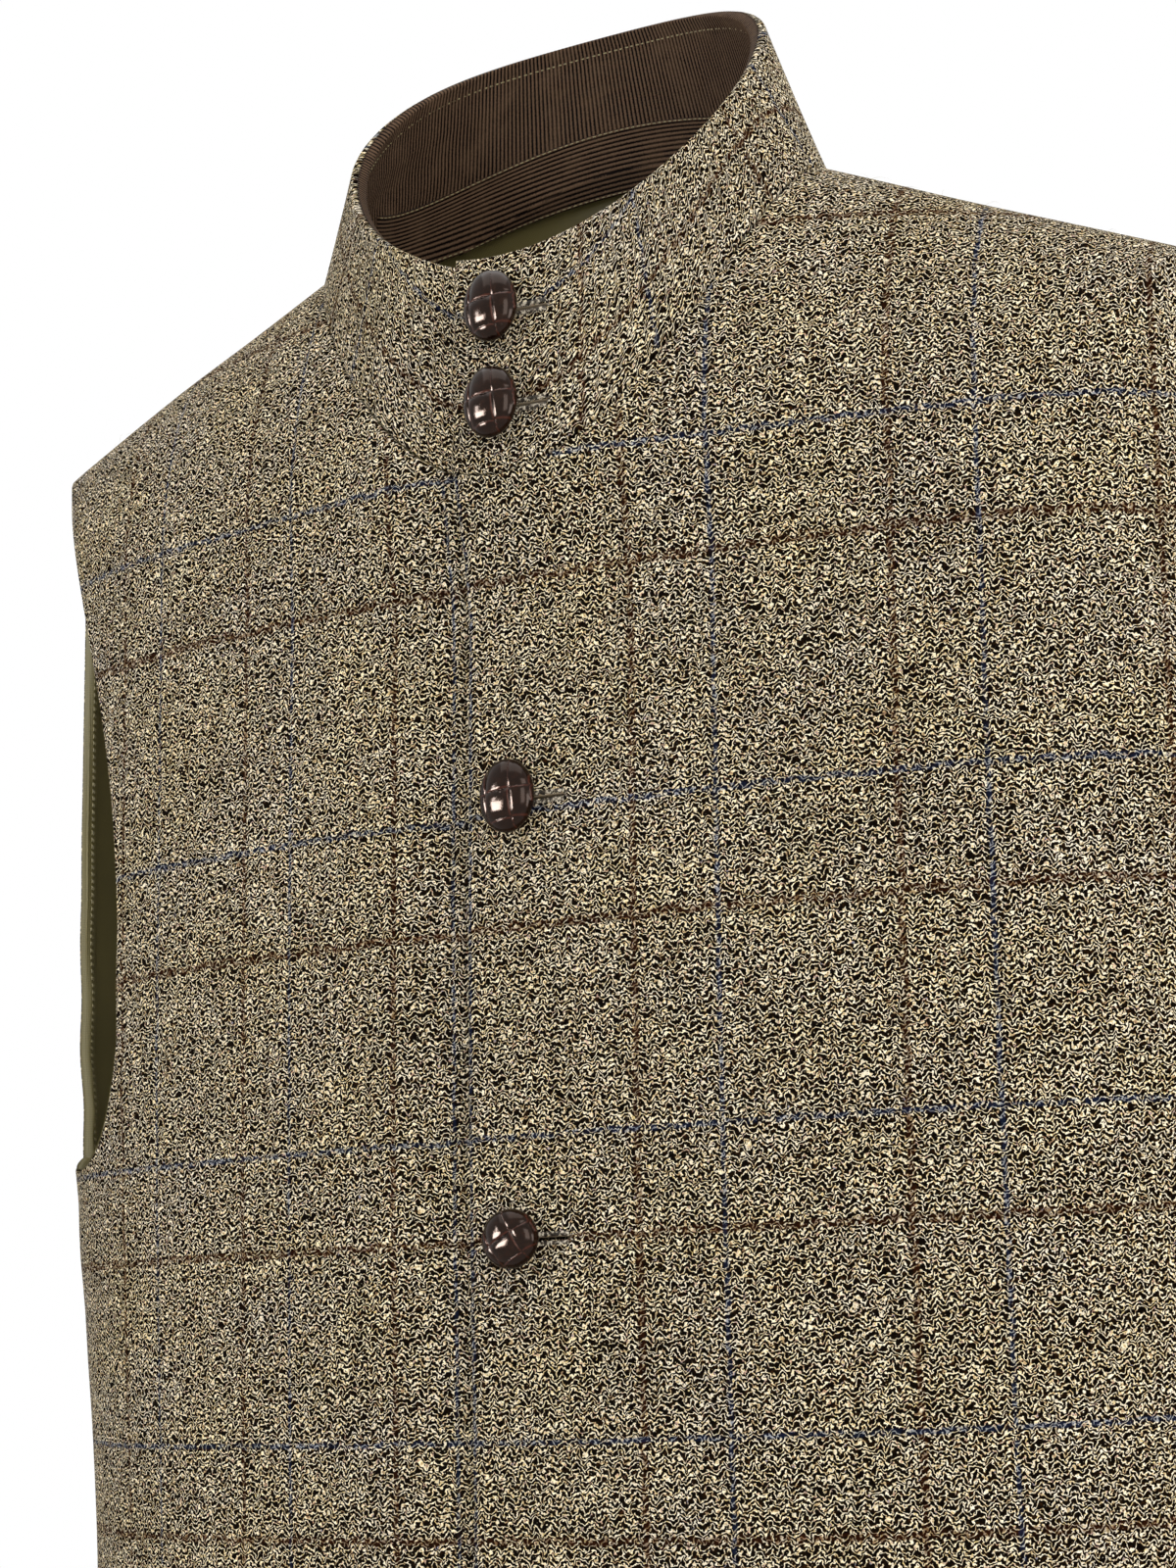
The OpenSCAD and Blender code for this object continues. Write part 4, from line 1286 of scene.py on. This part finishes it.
def armhole_loop(form, count, side):
    """Points round the armhole on the surface, from the shoulder down the front and up the back."""
    q = np.linspace(0, 2, count)
    t = form.underarm + (1 - form.underarm) * 0.95 * (1 + cos(180 * q)) / 2
    psi = np.where(q < 1, form.front_side(t, side), form.back_side(t, side))
    return psi, t


class GILET_OT_armholes(bpy.types.Operator):
    """Make the olive facings round the armholes and their stitching"""

    bl_idname = "gilet.armholes"
    bl_label = "Armhole facings"

    def execute(self, context):
        form, values, _ = settings(context)
        for side, mirror in SIDES:
            self.facing(form, values, side, mirror)
        return {"FINISHED"}

    def facing(self, form, values, side, mirror):
        psi, t = armhole_loop(form, 260, mirror)
        middle_t = (1 + form.underarm) / 2
        inner = form.armhole_angle + mirror * form.seam_turn
        middle_psi = (inner + float(form.side_seam(middle_t, mirror))) / 2
        depth = values.tweed_t + 2 * values.layer_gap + values.lining_t
        edge = 0.99 + np.array((0.0, 0.001, 0.004, 0.009, 0.016))
        shares = spread(edge, np.linspace(1.006, 1 + form.facing_share, 15))
        k = shares[:, None]
        a = middle_psi + k * (psi[None, :] - middle_psi)
        b = middle_t + k * (t[None, :] - middle_t)
        point = form.body(a, b)
        steps = np.linalg.norm(np.diff(point, axis=0), axis=-1)
        out = np.concatenate((np.zeros((1, len(psi))), np.cumsum(steps, 0)))
        around = np.concatenate(([0], np.cumsum(np.linalg.norm(np.diff(point[0], axis=0), axis=-1))))
        meet = values.tweed_t * 0.3
        low = np.exp(-((b - form.underarm) / 0.05) ** 2)
        pucker = 0.0004 * low * np.sin(around[None, :] * 420) * ramp(k, 1.0, 1.05)
        flat = np.stack((np.broadcast_to(around[None, :], a.shape), out), -1)
        faces = []
        for face in (depth, depth + values.lining_t):
            d = rolled(face, [(meet, out)]) + pucker
            faces.append(form.skin(a, b, d, mirror))
        piece = cloth(f"{side}_armhole_facing", faces[0], faces[1], {"weave": flat}, mirror < 0)
        settle(piece, lining(values), f"armhole_facing_{side}")
        declare_sheet(piece, faces[0], flat)
        lines = []
        for share in (1.04, 1.085):
            la, lb = middle_psi + share * (psi - middle_psi), middle_t + share * (t - middle_t)
            d = np.full_like(la, depth + values.lining_t)
            lines.append((form.skin(la, lb, d, mirror), -form.body_normal(la, lb) * (mirror, 1, 1)))
        rows = stitched(f"{side}_armhole_stitching", lines, values.stitch * 1.2, 0.62, 0.0003)
        settle(rows, lining_thread(values))


class GILET_OT_collar(bpy.types.Operator):
    """Make the three layers of the collar and the stitching inside its top edge"""

    bl_idname = "gilet.collar"
    bl_label = "Collar"

    def execute(self, context):
        form, values, buttons = settings(context)
        canvas_d = values.tweed_t + values.layer_gap
        facing_d = canvas_d + values.interlining_t + values.layer_gap
        total = facing_d + values.corduroy_t
        outer_piece, outer, flat = collar_sheet(form, "collar_cloth", 0.0, values.tweed_t, total / 2)
        facing, f_outer, f_flat = collar_sheet(
            form, "collar_corduroy", facing_d, values.corduroy_t, total / 2, values.wale, values.wale_h
        )
        inner, i_outer, i_flat = collar_sheet(
            form, "collar_canvas", canvas_d, values.interlining_t, 0.0, hidden=True
        )
        for piece in (outer_piece, facing, inner):
            cut_keyholes(piece, form, buttons, COLLAR_BUTTONS)
        settle(outer_piece, tweed(values), "collar_outer")
        settle(facing, corduroy(values), "collar_facing")
        settle(inner, canvas(values), "collar_interlining")
        declare_sheet(outer_piece, outer, flat)
        declare_sheet(facing, f_outer, f_flat)
        declare_sheet(inner, i_outer, i_flat)
        psi = np.linspace(8, 352, 700)
        high = form.collar_height(psi)
        lines = []
        for s in (1 - 0.006 / high, np.full_like(psi, 0.035)):
            d = total - 0.0002 + np.where(psi > 300, form.drop(-form.collar_half_at(s) * sin(psi)), 0)
            lines.append((form.collar_skin(psi, s, d), -form.collar_normal(psi, s)))
        rows = stitched("collar_stitching", lines, values.stitch, 0.7, 0.00025)
        settle(rows, lining_thread(values))
        return {"FINISHED"}


class GILET_OT_neck_band(bpy.types.Operator):
    """Make the corduroy band inside the back neck, with ribs that run across"""

    bl_idname = "gilet.neck_band"
    bl_label = "Neck band"

    ribs = 14
    first, last = 100, 260

    def execute(self, context):
        form, values, _ = settings(context)
        wale = form.neck_band_h / self.ribs
        psi = np.linspace(self.first, self.last, 200)
        high = np.linspace(0, form.neck_band_h, self.ribs * 8 + 1)
        rise = form.neck_band_rise * sin(psi) ** 2 - form.neck_band_drop
        a = np.broadcast_to(psi[None, :], (len(high), len(psi)))
        depth = values.tweed_t + 2 * values.layer_gap + values.interlining_t
        depth = depth + values.corduroy_t + values.layer_gap
        rib = np.broadcast_to(wale_profile(high[:, None] / wale), a.shape)
        outer = self.over_seam(form, a, high[:, None] + rise[None, :], np.full(a.shape, depth))
        ends = np.minimum(a - self.first, self.last - a) * 0.0015
        d = rolled(depth + values.corduroy_t, [(depth + 0.0003, ends)]) + values.wale_h * (rib - 1)
        inner = self.over_seam(form, a, high[:, None] + rise[None, :], d)
        across = np.broadcast_to((np.radians(psi - 180) * 0.085)[None, :], a.shape)
        flat = np.stack((across, np.broadcast_to(high[:, None], a.shape)), -1)
        ribs = np.stack((rib, np.zeros_like(rib)), -1)
        piece = cloth("back_neck_corduroy", outer, inner, {"weave": flat, "rib": ribs})
        settle(piece, corduroy(values), "back_neck_facing")
        declare_sheet(piece, outer, flat)
        lines = []
        for place in (wale / 2, form.neck_band_h - wale / 2):
            line = self.over_seam(form, psi, place + rise, np.full_like(psi, depth + values.corduroy_t))
            lines.append((line, -form.collar_normal(psi, np.full_like(psi, 0.2))))
        rows = stitched("neck_band_stitching", lines, values.stitch, 0.7, 0.0002)
        settle(rows, lining_thread(values))
        return {"FINISHED"}

    def over_seam(self, form, psi, high, depth):
        """Points at a height above the neck seam, on the collar or, below the seam, on the body."""
        tall = np.linalg.norm(form.collar_top(psi) - form.neck(psi), axis=-1)
        one = np.ones_like(psi)
        speed = np.linalg.norm(form.yoke(psi, one) - form.yoke(psi, 0.9 * one), axis=-1) / 0.1
        above = form.collar(psi, np.maximum(high, 0) / tall)
        below = form.body(psi, 2 + np.minimum(high, 0) / speed)
        share = ramp(high, -0.009, 0.012)[..., None]
        upper, lower = form.collar_normal(psi, 0.2 * one), form.body_normal(psi, 1.97 * one)
        normal = unit(upper * share + lower * (1 - share))
        return np.where((high > 0)[..., None], above, below) - normal * np.asarray(depth)[..., None]


def pocket_outline(half, corner, h):
    """Half width of a pocket or flap at height h above its lower edge, with round lower corners."""
    inside = np.clip(corner - h, 0, corner)
    return half - (corner - np.sqrt(corner**2 - inside**2))


class GILET_OT_pockets(bpy.types.Operator):
    """Make the bellows pockets, their flaps and their stitching"""

    bl_idname = "gilet.pockets"
    bl_label = "Pockets"

    def execute(self, context):
        form, values, _ = settings(context)
        for side, mirror in SIDES:
            self.pocket(form, values, side, mirror)
            self.flap(form, values, side, mirror)
        return {"FINISHED"}

    def maps(self, form, side, mirror, x, z):
        """Weave and check that run on from the front behind the pocket."""
        psi = form.angle_at(x, form.half_at(z))
        flat = np.stack((form.arc(psi, z, 0), z), -1)
        check = check_place(side, flat[..., 0], flat[..., 1])
        return {"weave": flat * (mirror, 1) + (0.0, 0.0003), "check": check}

    def pocket(self, form, values, side, mirror):
        half, high, corner = form.pocket_w / 2, form.pocket_h, 0.020
        lifts = np.array((0.0006, 0.30, 0.55, 0.85, 1.0, 1.0))
        lifts[1:] *= form.pocket_d
        insets = np.array((0.0, 0.004, 0.004, 0.0005, 0.0015, 0.004))
        levels = len(lifts) - 1
        columns = np.concatenate((np.arange(levels), np.full(40, levels), np.arange(levels)[::-1]))
        rows = np.concatenate((np.arange(levels), np.full(44, levels)))
        p = np.concatenate((np.full(levels, -1.0), np.linspace(-1, 1, 40), np.full(levels, 1.0)))
        q = np.concatenate((np.zeros(levels), np.linspace(0, 1, 44)))
        level = np.minimum(columns[None, :], rows[:, None])
        inset = insets[level]
        h = inset + (high - inset) * q[:, None]
        width = pocket_outline(half, corner, h - inset + 0.0004) - inset
        x = form.pocket_x + p[None, :] * width
        z = form.pocket_z - high + h
        crown = 0.0012 * np.cos(p[None, :] * np.pi / 2) * np.sin(np.pi * np.clip(q[:, None], 0, 1))
        wave = 0.0006 * np.sin(55 * x + 31 * z)
        lift = lifts[level] + (level == levels) * (wave - crown)
        outer = form.on_front(x, z, lift)
        normal = form.on_front(x, z, lift + 0.001) - outer
        grown = np.gradient(outer, axis=0), np.gradient(outer, axis=1)
        own = np.cross(grown[1], grown[0])
        size = np.linalg.norm(own, axis=-1, keepdims=True)
        own = np.where(size > 1e-12, own / np.maximum(size, 1e-12), unit(normal))
        inner = outer - own * values.tweed_t * 0.8
        maps = self.maps(form, side, mirror, x, z)
        flip = (mirror, 1, 1)
        piece = cloth(f"{side}_pocket_cloth", outer * flip, inner * flip, maps, mirror < 0)
        settle(piece, tweed(values), f"pocket_{side}")
        declare_sheet(piece, outer, maps["weave"])
        lines = []
        turn = np.linspace(0, 1, 240)
        edge_h = np.concatenate((high * (1 - turn), 0.0 * turn, high * turn))
        edge_p = np.concatenate((-np.ones(240), -1 + 2 * turn, np.ones(240)))
        for inset in (0.006,):
            eh = np.clip(edge_h, inset, high)
            ex = form.pocket_x + edge_p * (pocket_outline(half, corner, eh - inset + 0.0004) - inset)
            ez = form.pocket_z - high + eh
            point = form.on_front(ex, ez, np.full_like(ex, form.pocket_d))
            out = unit(form.on_front(ex, ez, np.full_like(ex, form.pocket_d + 0.001)) - point)
            lines.append((point * flip, out * flip))
        top_x = form.pocket_x + np.linspace(-1, 1, 200) * (half - 0.003)
        for below in (0.012,):
            tz = np.full_like(top_x, form.pocket_z - below)
            point = form.on_front(top_x, tz, np.full_like(top_x, form.pocket_d))
            out = unit(form.on_front(top_x, tz, np.full_like(top_x, form.pocket_d + 0.001)) - point)
            lines.append((point * flip, out * flip))
        rows = stitched(f"{side}_pocket_stitching", lines, values.stitch * 1.3, 0.7, 0.00025, 0.1)
        settle(rows, tweed_thread(values))

    def flap_lift(self, form, z):
        """Distance of the flap's inner face from the front: over the pocket, then in to its stitching."""
        top, bend = form.pocket_z + form.flap_rise, form.pocket_z + 0.002
        return 0.0005 + (form.pocket_d + 0.0009 - 0.0005) * (1 - ramp(z, bend, top))

    def flap(self, form, values, side, mirror):
        half, high, corner = form.pocket_w / 2 + form.flap_over, form.flap_h, 0.016
        top = form.pocket_z + form.flap_rise
        p = spread(-1 + ROLL * 0.015, np.linspace(-0.985, 0.985, 60), 1 - ROLL * 0.015)
        q = spread(ROLL * 0.018, np.linspace(0.018, 1, 40))
        h = high * q[:, None] + 0 * p[None, :]
        width = pocket_outline(half, corner, h + 0.0004)
        x = form.pocket_x + p[None, :] * width
        z = top - high + h
        thick = values.tweed_t
        edge = np.minimum(np.minimum((1 + p)[None, :], (1 - p)[None, :]) * half, h)
        wave = 0.0006 * np.sin(48 * x) * (1 - q[:, None])
        lift = self.flap_lift(form, z) + wave * ramp(1 - q[:, None], 0.1, 0.5)
        faces = []
        for face in (-thick, 0.0):
            faces.append(form.on_front(x, z, lift - rolled(face, [(-thick / 2, edge)])))
        maps = self.maps(form, side, mirror, x, z)
        flip = (mirror, 1, 1)
        piece = cloth(f"{side}_flap_cloth", faces[0] * flip, faces[1] * flip, maps, mirror < 0)
        settle(piece, tweed(values), f"pocket_flap_{side}", f"flap_{side}")
        declare_sheet(piece, faces[0], maps["weave"])
        turn = np.linspace(0, 1, 160)
        inset = 0.006
        lines = []
        eh = np.clip(np.concatenate((high * (1 - turn), 0 * turn, high * turn)), inset, high)
        ep = np.concatenate((-np.ones(160), -1 + 2 * turn, np.ones(160)))
        ex = form.pocket_x + ep * (pocket_outline(half, corner, eh - inset + 0.0004) - inset)
        lines.append((ex, top - high + eh))
        lines.append((form.pocket_x + np.linspace(-1, 1, 160) * (half - 0.002), np.full(160, top - 0.004)))
        rows = []
        for lx, lz in lines:
            base = self.flap_lift(form, lz) + thick
            point = form.on_front(lx, lz, base)
            out = unit(form.on_front(lx, lz, base + 0.001) - point)
            rows.append((point * flip, out * flip))
        seam = stitched(f"{side}_flap_stitching", rows, values.stitch * 1.3, 0.7, 0.00025, 0.1)
        settle(seam, tweed_thread(values), body=f"flap_{side}")


class GILET_OT_buttonholes(bpy.types.Operator):
    """Make the thread edging round each buttonhole"""

    bl_idname = "gilet.buttonholes"
    bl_label = "Buttonholes"

    def execute(self, context):
        form, values, buttons = settings(context)
        outline, outward = keyhole_outline(buttons, 0.00055)
        rows = []
        for i in BUTTONS:
            point, normal = form.button(i)
            axes = button_axes(normal)
            for (x, y), (dx, dy) in zip(outline, outward):
                start = point + axes[0] * (x + dx * 0.0001) + axes[1] * (y + dy * 0.0001)
                end = point + axes[0] * (x + dx * 0.0017) + axes[1] * (y + dy * 0.0017)
                line = np.linspace(start, end, 5)
                rows.append((line, np.repeat(axes[2][None, :], 5, 0)))
        piece = stitched("buttonhole_threads", rows, 1.0, 0.96, 0.00028, 0.15)
        settle(piece, tweed_thread(values), "buttonhole_stitching")
        return {"FINISHED"}


class GILET_OT_buttons(bpy.types.Operator):
    """Make the woven leather buttons and their thread shanks"""

    bl_idname = "gilet.buttons"
    bl_label = "Buttons"

    cross = (0.27, 0.08)
    cell_left, cell_right = 0.9, 0.67
    cell_low, cell_high = 0.78, 0.95
    lean = 0.09
    turn = 25.0
    # Rings of the underside: shares of the half width and of the height
    underside = ((1.0, 0.33), (0.985, 0.22), (0.94, 0.12), (0.86, 0.045), (0.74, 0.0), (0.3, 0.0), (0.15, 0.0))
    socket_h = 0.21

    def execute(self, context):
        form, values, buttons = settings(context)
        for i in BUTTONS:
            point, normal = form.button(i)
            axes = np.stack(button_axes(normal))
            self.button(i, point, axes, buttons)
            self.shank(i, point, axes, form, buttons, values)
        return {"FINISHED"}

    def woven(self, x, y):
        """Depth of the basket weave below the dome, and how near a place is to the edge of its strip."""
        x, y = x + self.lean * y - self.cross[0], y - self.lean * x - self.cross[1]
        u = x / np.where(x < 0, self.cell_left, self.cell_right)
        v = y / np.where(y < 0, self.cell_low, self.cell_high)
        upright = (np.floor(u) + np.floor(v)) % 2 == 0
        lu, lv = 2 * (u - np.floor(u)) - 1, 2 * (v - np.floor(v)) - 1
        side, along = np.where(upright, lu, lv), np.where(upright, lv, lu)
        depth = 0.00022 * abs(side) ** 7 + 0.00075 * abs(along) ** 3.5
        near = ramp(abs(side), 0.86, 0.96) * (1 - ramp(abs(along), 0.86, 1.0))
        return depth, near

    def button(self, i, point, axes, buttons):
        oval = i in OVAL_BUTTONS
        rx, ry = buttons.diameter / 2, (buttons.oval_h if oval else buttons.diameter) / 2
        sides, high = 144, buttons.thickness
        rho = np.concatenate((np.linspace(0.0, 0.94, 58)[1:], (0.965, 0.985, 0.997)))
        around = math.tau * np.arange(sides) / sides
        x, y = rho[:, None] * np.cos(around), rho[:, None] * np.sin(around)
        turned = 0.0 if oval else math.radians(self.turn)
        wx, wy = x * math.cos(turned) + y * math.sin(turned), y * math.cos(turned) - x * math.sin(turned)
        depth, near = self.woven(wx, wy)
        dome = 0.36 + 0.64 * np.sqrt(np.clip(1 - rho[:, None] ** 2.3, 0, 1))
        z = high * dome - depth * (0.45 + 0.55 * dome)
        shell = [np.stack((rx * x, ry * y, z), -1)]
        edges = [near]
        socket = buttons.shank_d / 2 + 0.0002
        under = [(rx * r, ry * r, h) for r, h in self.underside]
        under += [(socket, socket, h) for h in (0.0, self.socket_h)]
        for half_x, half_y, h in under:
            ring = np.stack((half_x * np.cos(around), half_y * np.sin(around), np.full(sides, high * h)), -1)
            shell.append(ring[None])
            edges.append(np.zeros((1, sides)))
        rings = np.concatenate(shell)
        count = len(rings)
        local = np.concatenate((rings.reshape(-1, 3), [(0, 0, high), (0, 0, high * self.socket_h)]))
        faces = []
        for r in range(count - 1):
            a = r * sides + np.arange(sides)
            b = r * sides + (np.arange(sides) + 1) % sides
            faces += np.stack((a, a + sides, b + sides, b), -1).tolist()
        top, bottom = count * sides, count * sides + 1
        faces += [(top, k, (k + 1) % sides) for k in range(sides)]
        last = (count - 1) * sides
        faces += [(bottom, last + (k + 1) % sides, last + k) for k in range(sides)]
        place = point + axes[2] * buttons.lift + local @ axes
        piece = new_piece(f"leather_button_{i}", place, faces)
        edge = piece.data.attributes.new("edge", "FLOAT", "POINT")
        worn = np.concatenate([e.ravel() for e in edges] + [np.zeros(2)])
        edge.data.foreach_set("value", worn.astype(np.float32))
        settle(piece, leather(buttons), f"button_{i}", f"button_{i}")

    def shank(self, i, point, axes, form, buttons, values):
        """Strands of thread laid round a core, from the cloth under the lap into the button."""
        low, high = -form.lap_drop + buttons.shank_seat, buttons.lift + buttons.shank_grip
        rows, sides = 40, 30
        turn = math.tau * np.arange(sides) / sides
        z = np.linspace(low, high, rows)
        wrap = 0.00012 * abs(np.sin(2.5 * turn[None, :] + 1400 * z[:, None]))
        radius = buttons.shank_d / 2 - 0.00012 + wrap
        rings = np.stack(
            (radius * np.cos(turn), radius * np.sin(turn), np.broadcast_to(z[:, None], radius.shape)), -1
        ).reshape(-1, 3)
        local = np.concatenate((rings, [(0, 0, low), (0, 0, high)]))
        faces = []
        for r in range(rows - 1):
            a, b = r * sides + np.arange(sides), r * sides + (np.arange(sides) + 1) % sides
            faces += np.stack((a, b, b + sides, a + sides), -1).tolist()
        end = (rows - 1) * sides
        faces += [(len(rings), (k + 1) % sides, k) for k in range(sides)]
        faces += [(len(rings) + 1, end + k, end + (k + 1) % sides) for k in range(sides)]
        piece = new_piece(f"thread_shank_{i}", point + local @ axes, faces)
        settle(piece, tweed_thread(values), f"button_shank_{i}", f"shank_{i}")


class GILET_OT_fibres(bpy.types.Operator):
    """Scatter stray wool fibres over the tweed"""

    bl_idname = "gilet.fibres"
    bl_label = "Stray fibres"

    count = 420
    seed = 7

    def execute(self, context):
        form, values, _ = settings(context)
        random = np.random.default_rng(self.seed)
        points, faces = [], []
        for _ in range(self.count):
            psi, t = random.uniform(0, 360), random.uniform(0.03, 1.9)
            near = min(psi, 360 - psi)
            mirror = 1 if psi <= 180 else -1
            front, back = form.front_side(np.array(t), mirror), form.back_side(np.array(t), mirror)
            if front - 2 < near < back + 2 or near < 9:
                continue
            half = psi if psi <= 180 else 360 - psi
            base = form.skin(np.array(half), np.array(t), np.array(0.0), mirror)
            normal = form.body_normal(np.array(half), np.array(t)) * (mirror, 1, 1)
            along = unit(np.cross(normal, random.normal(size=3)))
            aside = np.cross(normal, along)
            long = random.uniform(0.002, 0.0065)
            bow = random.uniform(-0.6, 0.6)
            rise = random.uniform(0.08, 0.4)
            share = np.linspace(0, 1, 6)
            line = base + long * (
                share[:, None] * along
                + bow * (share**2)[:, None] * aside
                + rise * np.sin(share * np.pi * 0.8)[:, None] * normal
            )
            start = len(points) * 18
            width = 0.00005 * (1.05 - share)
            corners = []
            for c in range(3):
                turn = math.tau * c / 3
                corners.append(line + width[:, None] * (math.cos(turn) * aside + math.sin(turn) * normal))
            points.append(np.stack(corners, 1).reshape(-1, 3))
            for r in range(5):
                for c in range(3):
                    a, b = start + r * 3 + c, start + r * 3 + (c + 1) % 3
                    faces.append((a, b, b + 3, a + 3))
            faces += [(start, start + 2, start + 1), (start + 15, start + 16, start + 17)]
        piece = new_piece("stray_fibres", np.concatenate(points), faces)
        settle(piece, fibre(values))
        return {"FINISHED"}


class GILET_OT_stage(bpy.types.Operator):
    """Set the floor, the lights and the camera"""

    bl_idname = "gilet.stage"
    bl_label = "Studio"

    # Lamps that only show as a gloss on the buttons
    gloss_only = ("glint_lamp",)
    # Each lamp: its place, what it faces, its width, height and power
    lamps = {
        "key_lamp": ((-1.15, -1.45, 1.1), (0.0, 0.0, 0.5), 0.24, 0.32, 10.0),
        "glint_lamp": ((-1.25, -1.92, 0.62), (0.0, -0.1, 0.47), 0.95, 0.75, 150.0),
        "fill_lamp": ((1.9, -1.5, 1.1), (0.05, 0.0, 0.42), 1.2, 1.4, 22.0),
        "side_lamp": ((1.7, 0.06, 0.55), (-0.2, 0.04, 0.48), 0.7, 0.7, 9.0),
        "top_lamp": ((0.1, -0.3, 2.3), (0.0, 0.0, 0.5), 1.8, 1.8, 16.0),
        "back_lamp": ((0.4, 2.1, 1.3), (0.0, 0.0, 0.45), 1.8, 1.6, 18.0),
    }

    def execute(self, context):
        stage = context.scene.gilet_stage
        context.scene.view_settings.view_transform = "Standard"
        self.floor(context, stage)
        self.world(context)
        for name, lamp in self.lamps.items():
            self.lamp(context, name, *lamp)
        self.camera(context, stage)
        return {"FINISHED"}

    def floor(self, context, stage):
        size = 12.0
        corners = [(-size, -size, 0), (size, -size, 0), (size, size, 0), (-size, size, 0)]
        floor = new_piece("floor", corners, [(0, 1, 2, 3)])
        floor.location.z = -0.0004
        material, wires, shader = new_material("Pale floor", 0.9, 0.0, 0.1)
        shader.inputs["Base Color"].default_value = (*stage.floor, 1)
        seen = wires.put("ShaderNodeLightPath").outputs
        shown = wires.math("MAXIMUM", seen["Is Camera Ray"], seen["Is Glossy Ray"])
        glow = wires.put("ShaderNodeEmission")
        glow.inputs["Color"].default_value = (1, 1, 1, 1)
        mix = wires.put("ShaderNodeMixShader")
        away = wires.put("ShaderNodeVectorMath", operation="LENGTH")
        wires.feed(away.inputs[0], wires.put("ShaderNodeTexCoord").outputs["Object"])
        share = wires.smooth(away.outputs["Value"], 0.6, 1.6, 0.7, 1.0)
        wires.feed(mix.inputs[0], wires.math("MULTIPLY", shown, share))
        wires.feed(mix.inputs[1], shader.outputs[0])
        wires.feed(mix.inputs[2], glow.outputs[0])
        out = material.node_tree.nodes["Material Output"]
        wires.feed(out.inputs["Surface"], mix.outputs[0])
        floor.data.materials.append(material)

    def world(self, context):
        world = bpy.data.worlds.new("Studio")
        world.use_nodes = True
        context.scene.world = world
        wires = Wires(world.node_tree)
        seen = wires.put("ShaderNodeLightPath").outputs
        shown = wires.math("MAXIMUM", seen["Is Camera Ray"], seen["Is Transmission Ray"])
        shown = wires.math("MAXIMUM", shown, seen["Is Glossy Ray"])
        back = world.node_tree.nodes["Background"]
        back.inputs["Color"].default_value = (1, 1, 1, 1)
        wires.feed(back.inputs["Strength"], wires.smooth(shown, 0.0, 1.0, 0.42, 1.0))

    def lamp(self, context, name, place, aim, width, height, power):
        light = bpy.data.lights.new(name, "AREA")
        light.shape, light.size, light.size_y, light.energy = "RECTANGLE", width, height, power
        lamp = bpy.data.objects.new(name, light)
        lamp.location = place
        lamp.rotation_euler = (Vector(aim) - Vector(place)).to_track_quat("-Z", "Y").to_euler()
        lamp.visible_diffuse = name not in self.gloss_only
        context.scene.collection.objects.link(lamp)

    def camera(self, context, stage):
        turn, pitch, roll = (math.radians(v) for v in (stage.heading, stage.pitch, stage.roll))
        right = Vector((math.cos(turn), math.sin(turn), 0))
        ahead = Vector((-math.sin(turn) * math.cos(pitch), math.cos(turn) * math.cos(pitch), math.sin(pitch)))
        up = right.cross(ahead)
        rolled_right = right * math.cos(roll) + up * math.sin(roll)
        rolled_up = up * math.cos(roll) - right * math.sin(roll)
        camera = bpy.data.objects.new("camera", bpy.data.cameras.new("camera"))
        turned = Matrix((rolled_right, rolled_up, -ahead)).transposed().to_4x4()
        camera.matrix_world = Matrix.Translation(stage.eye) @ turned
        camera.data.sensor_width = 36.0
        camera.data.lens = stage.lens
        camera.data.shift_y = stage.shift_y
        camera.data.clip_start = 0.01
        context.scene.collection.objects.link(camera)
        context.scene.camera = camera


class GILET_PT_panel(bpy.types.Panel):
    """Lists the gilet's steps and its sizes"""

    bl_idname = "GILET_PT_panel"
    bl_label = "Tweed Gilet"
    bl_space_type = "VIEW_3D"
    bl_region_type = "UI"
    bl_category = "Gilet"

    def draw(self, context):
        for operator in OPERATORS:
            self.layout.operator(operator.bl_idname)
        for key in GROUPS:
            box = self.layout.box()
            group = getattr(context.scene, key)
            for name in type(group).__annotations__:
                box.prop(group, name)


GROUPS = {
    "gilet_shape": GiletShape,
    "gilet_cloth": GiletCloth,
    "gilet_buttons": GiletButtons,
    "gilet_stage": GiletStage,
}
OPERATORS = (
    GILET_OT_stage,
    GILET_OT_back,
    GILET_OT_fronts,
    GILET_OT_linings,
    GILET_OT_armholes,
    GILET_OT_collar,
    GILET_OT_neck_band,
    GILET_OT_pockets,
    GILET_OT_buttonholes,
    GILET_OT_buttons,
    GILET_OT_fibres,
)


def register():
    for item in (*GROUPS.values(), *OPERATORS, GILET_PT_panel):
        bpy.utils.register_class(item)
    for key, group in GROUPS.items():
        setattr(bpy.types.Scene, key, bpy.props.PointerProperty(type=group))


def unregister():
    for key in GROUPS:
        delattr(bpy.types.Scene, key)
    for item in reversed((*GROUPS.values(), *OPERATORS, GILET_PT_panel)):
        bpy.utils.unregister_class(item)


def main():
    register()
    for operator in OPERATORS:
        getattr(bpy.ops.gilet, operator.bl_idname.split(".")[1])()
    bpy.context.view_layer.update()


if __name__ == "__main__":
    main()
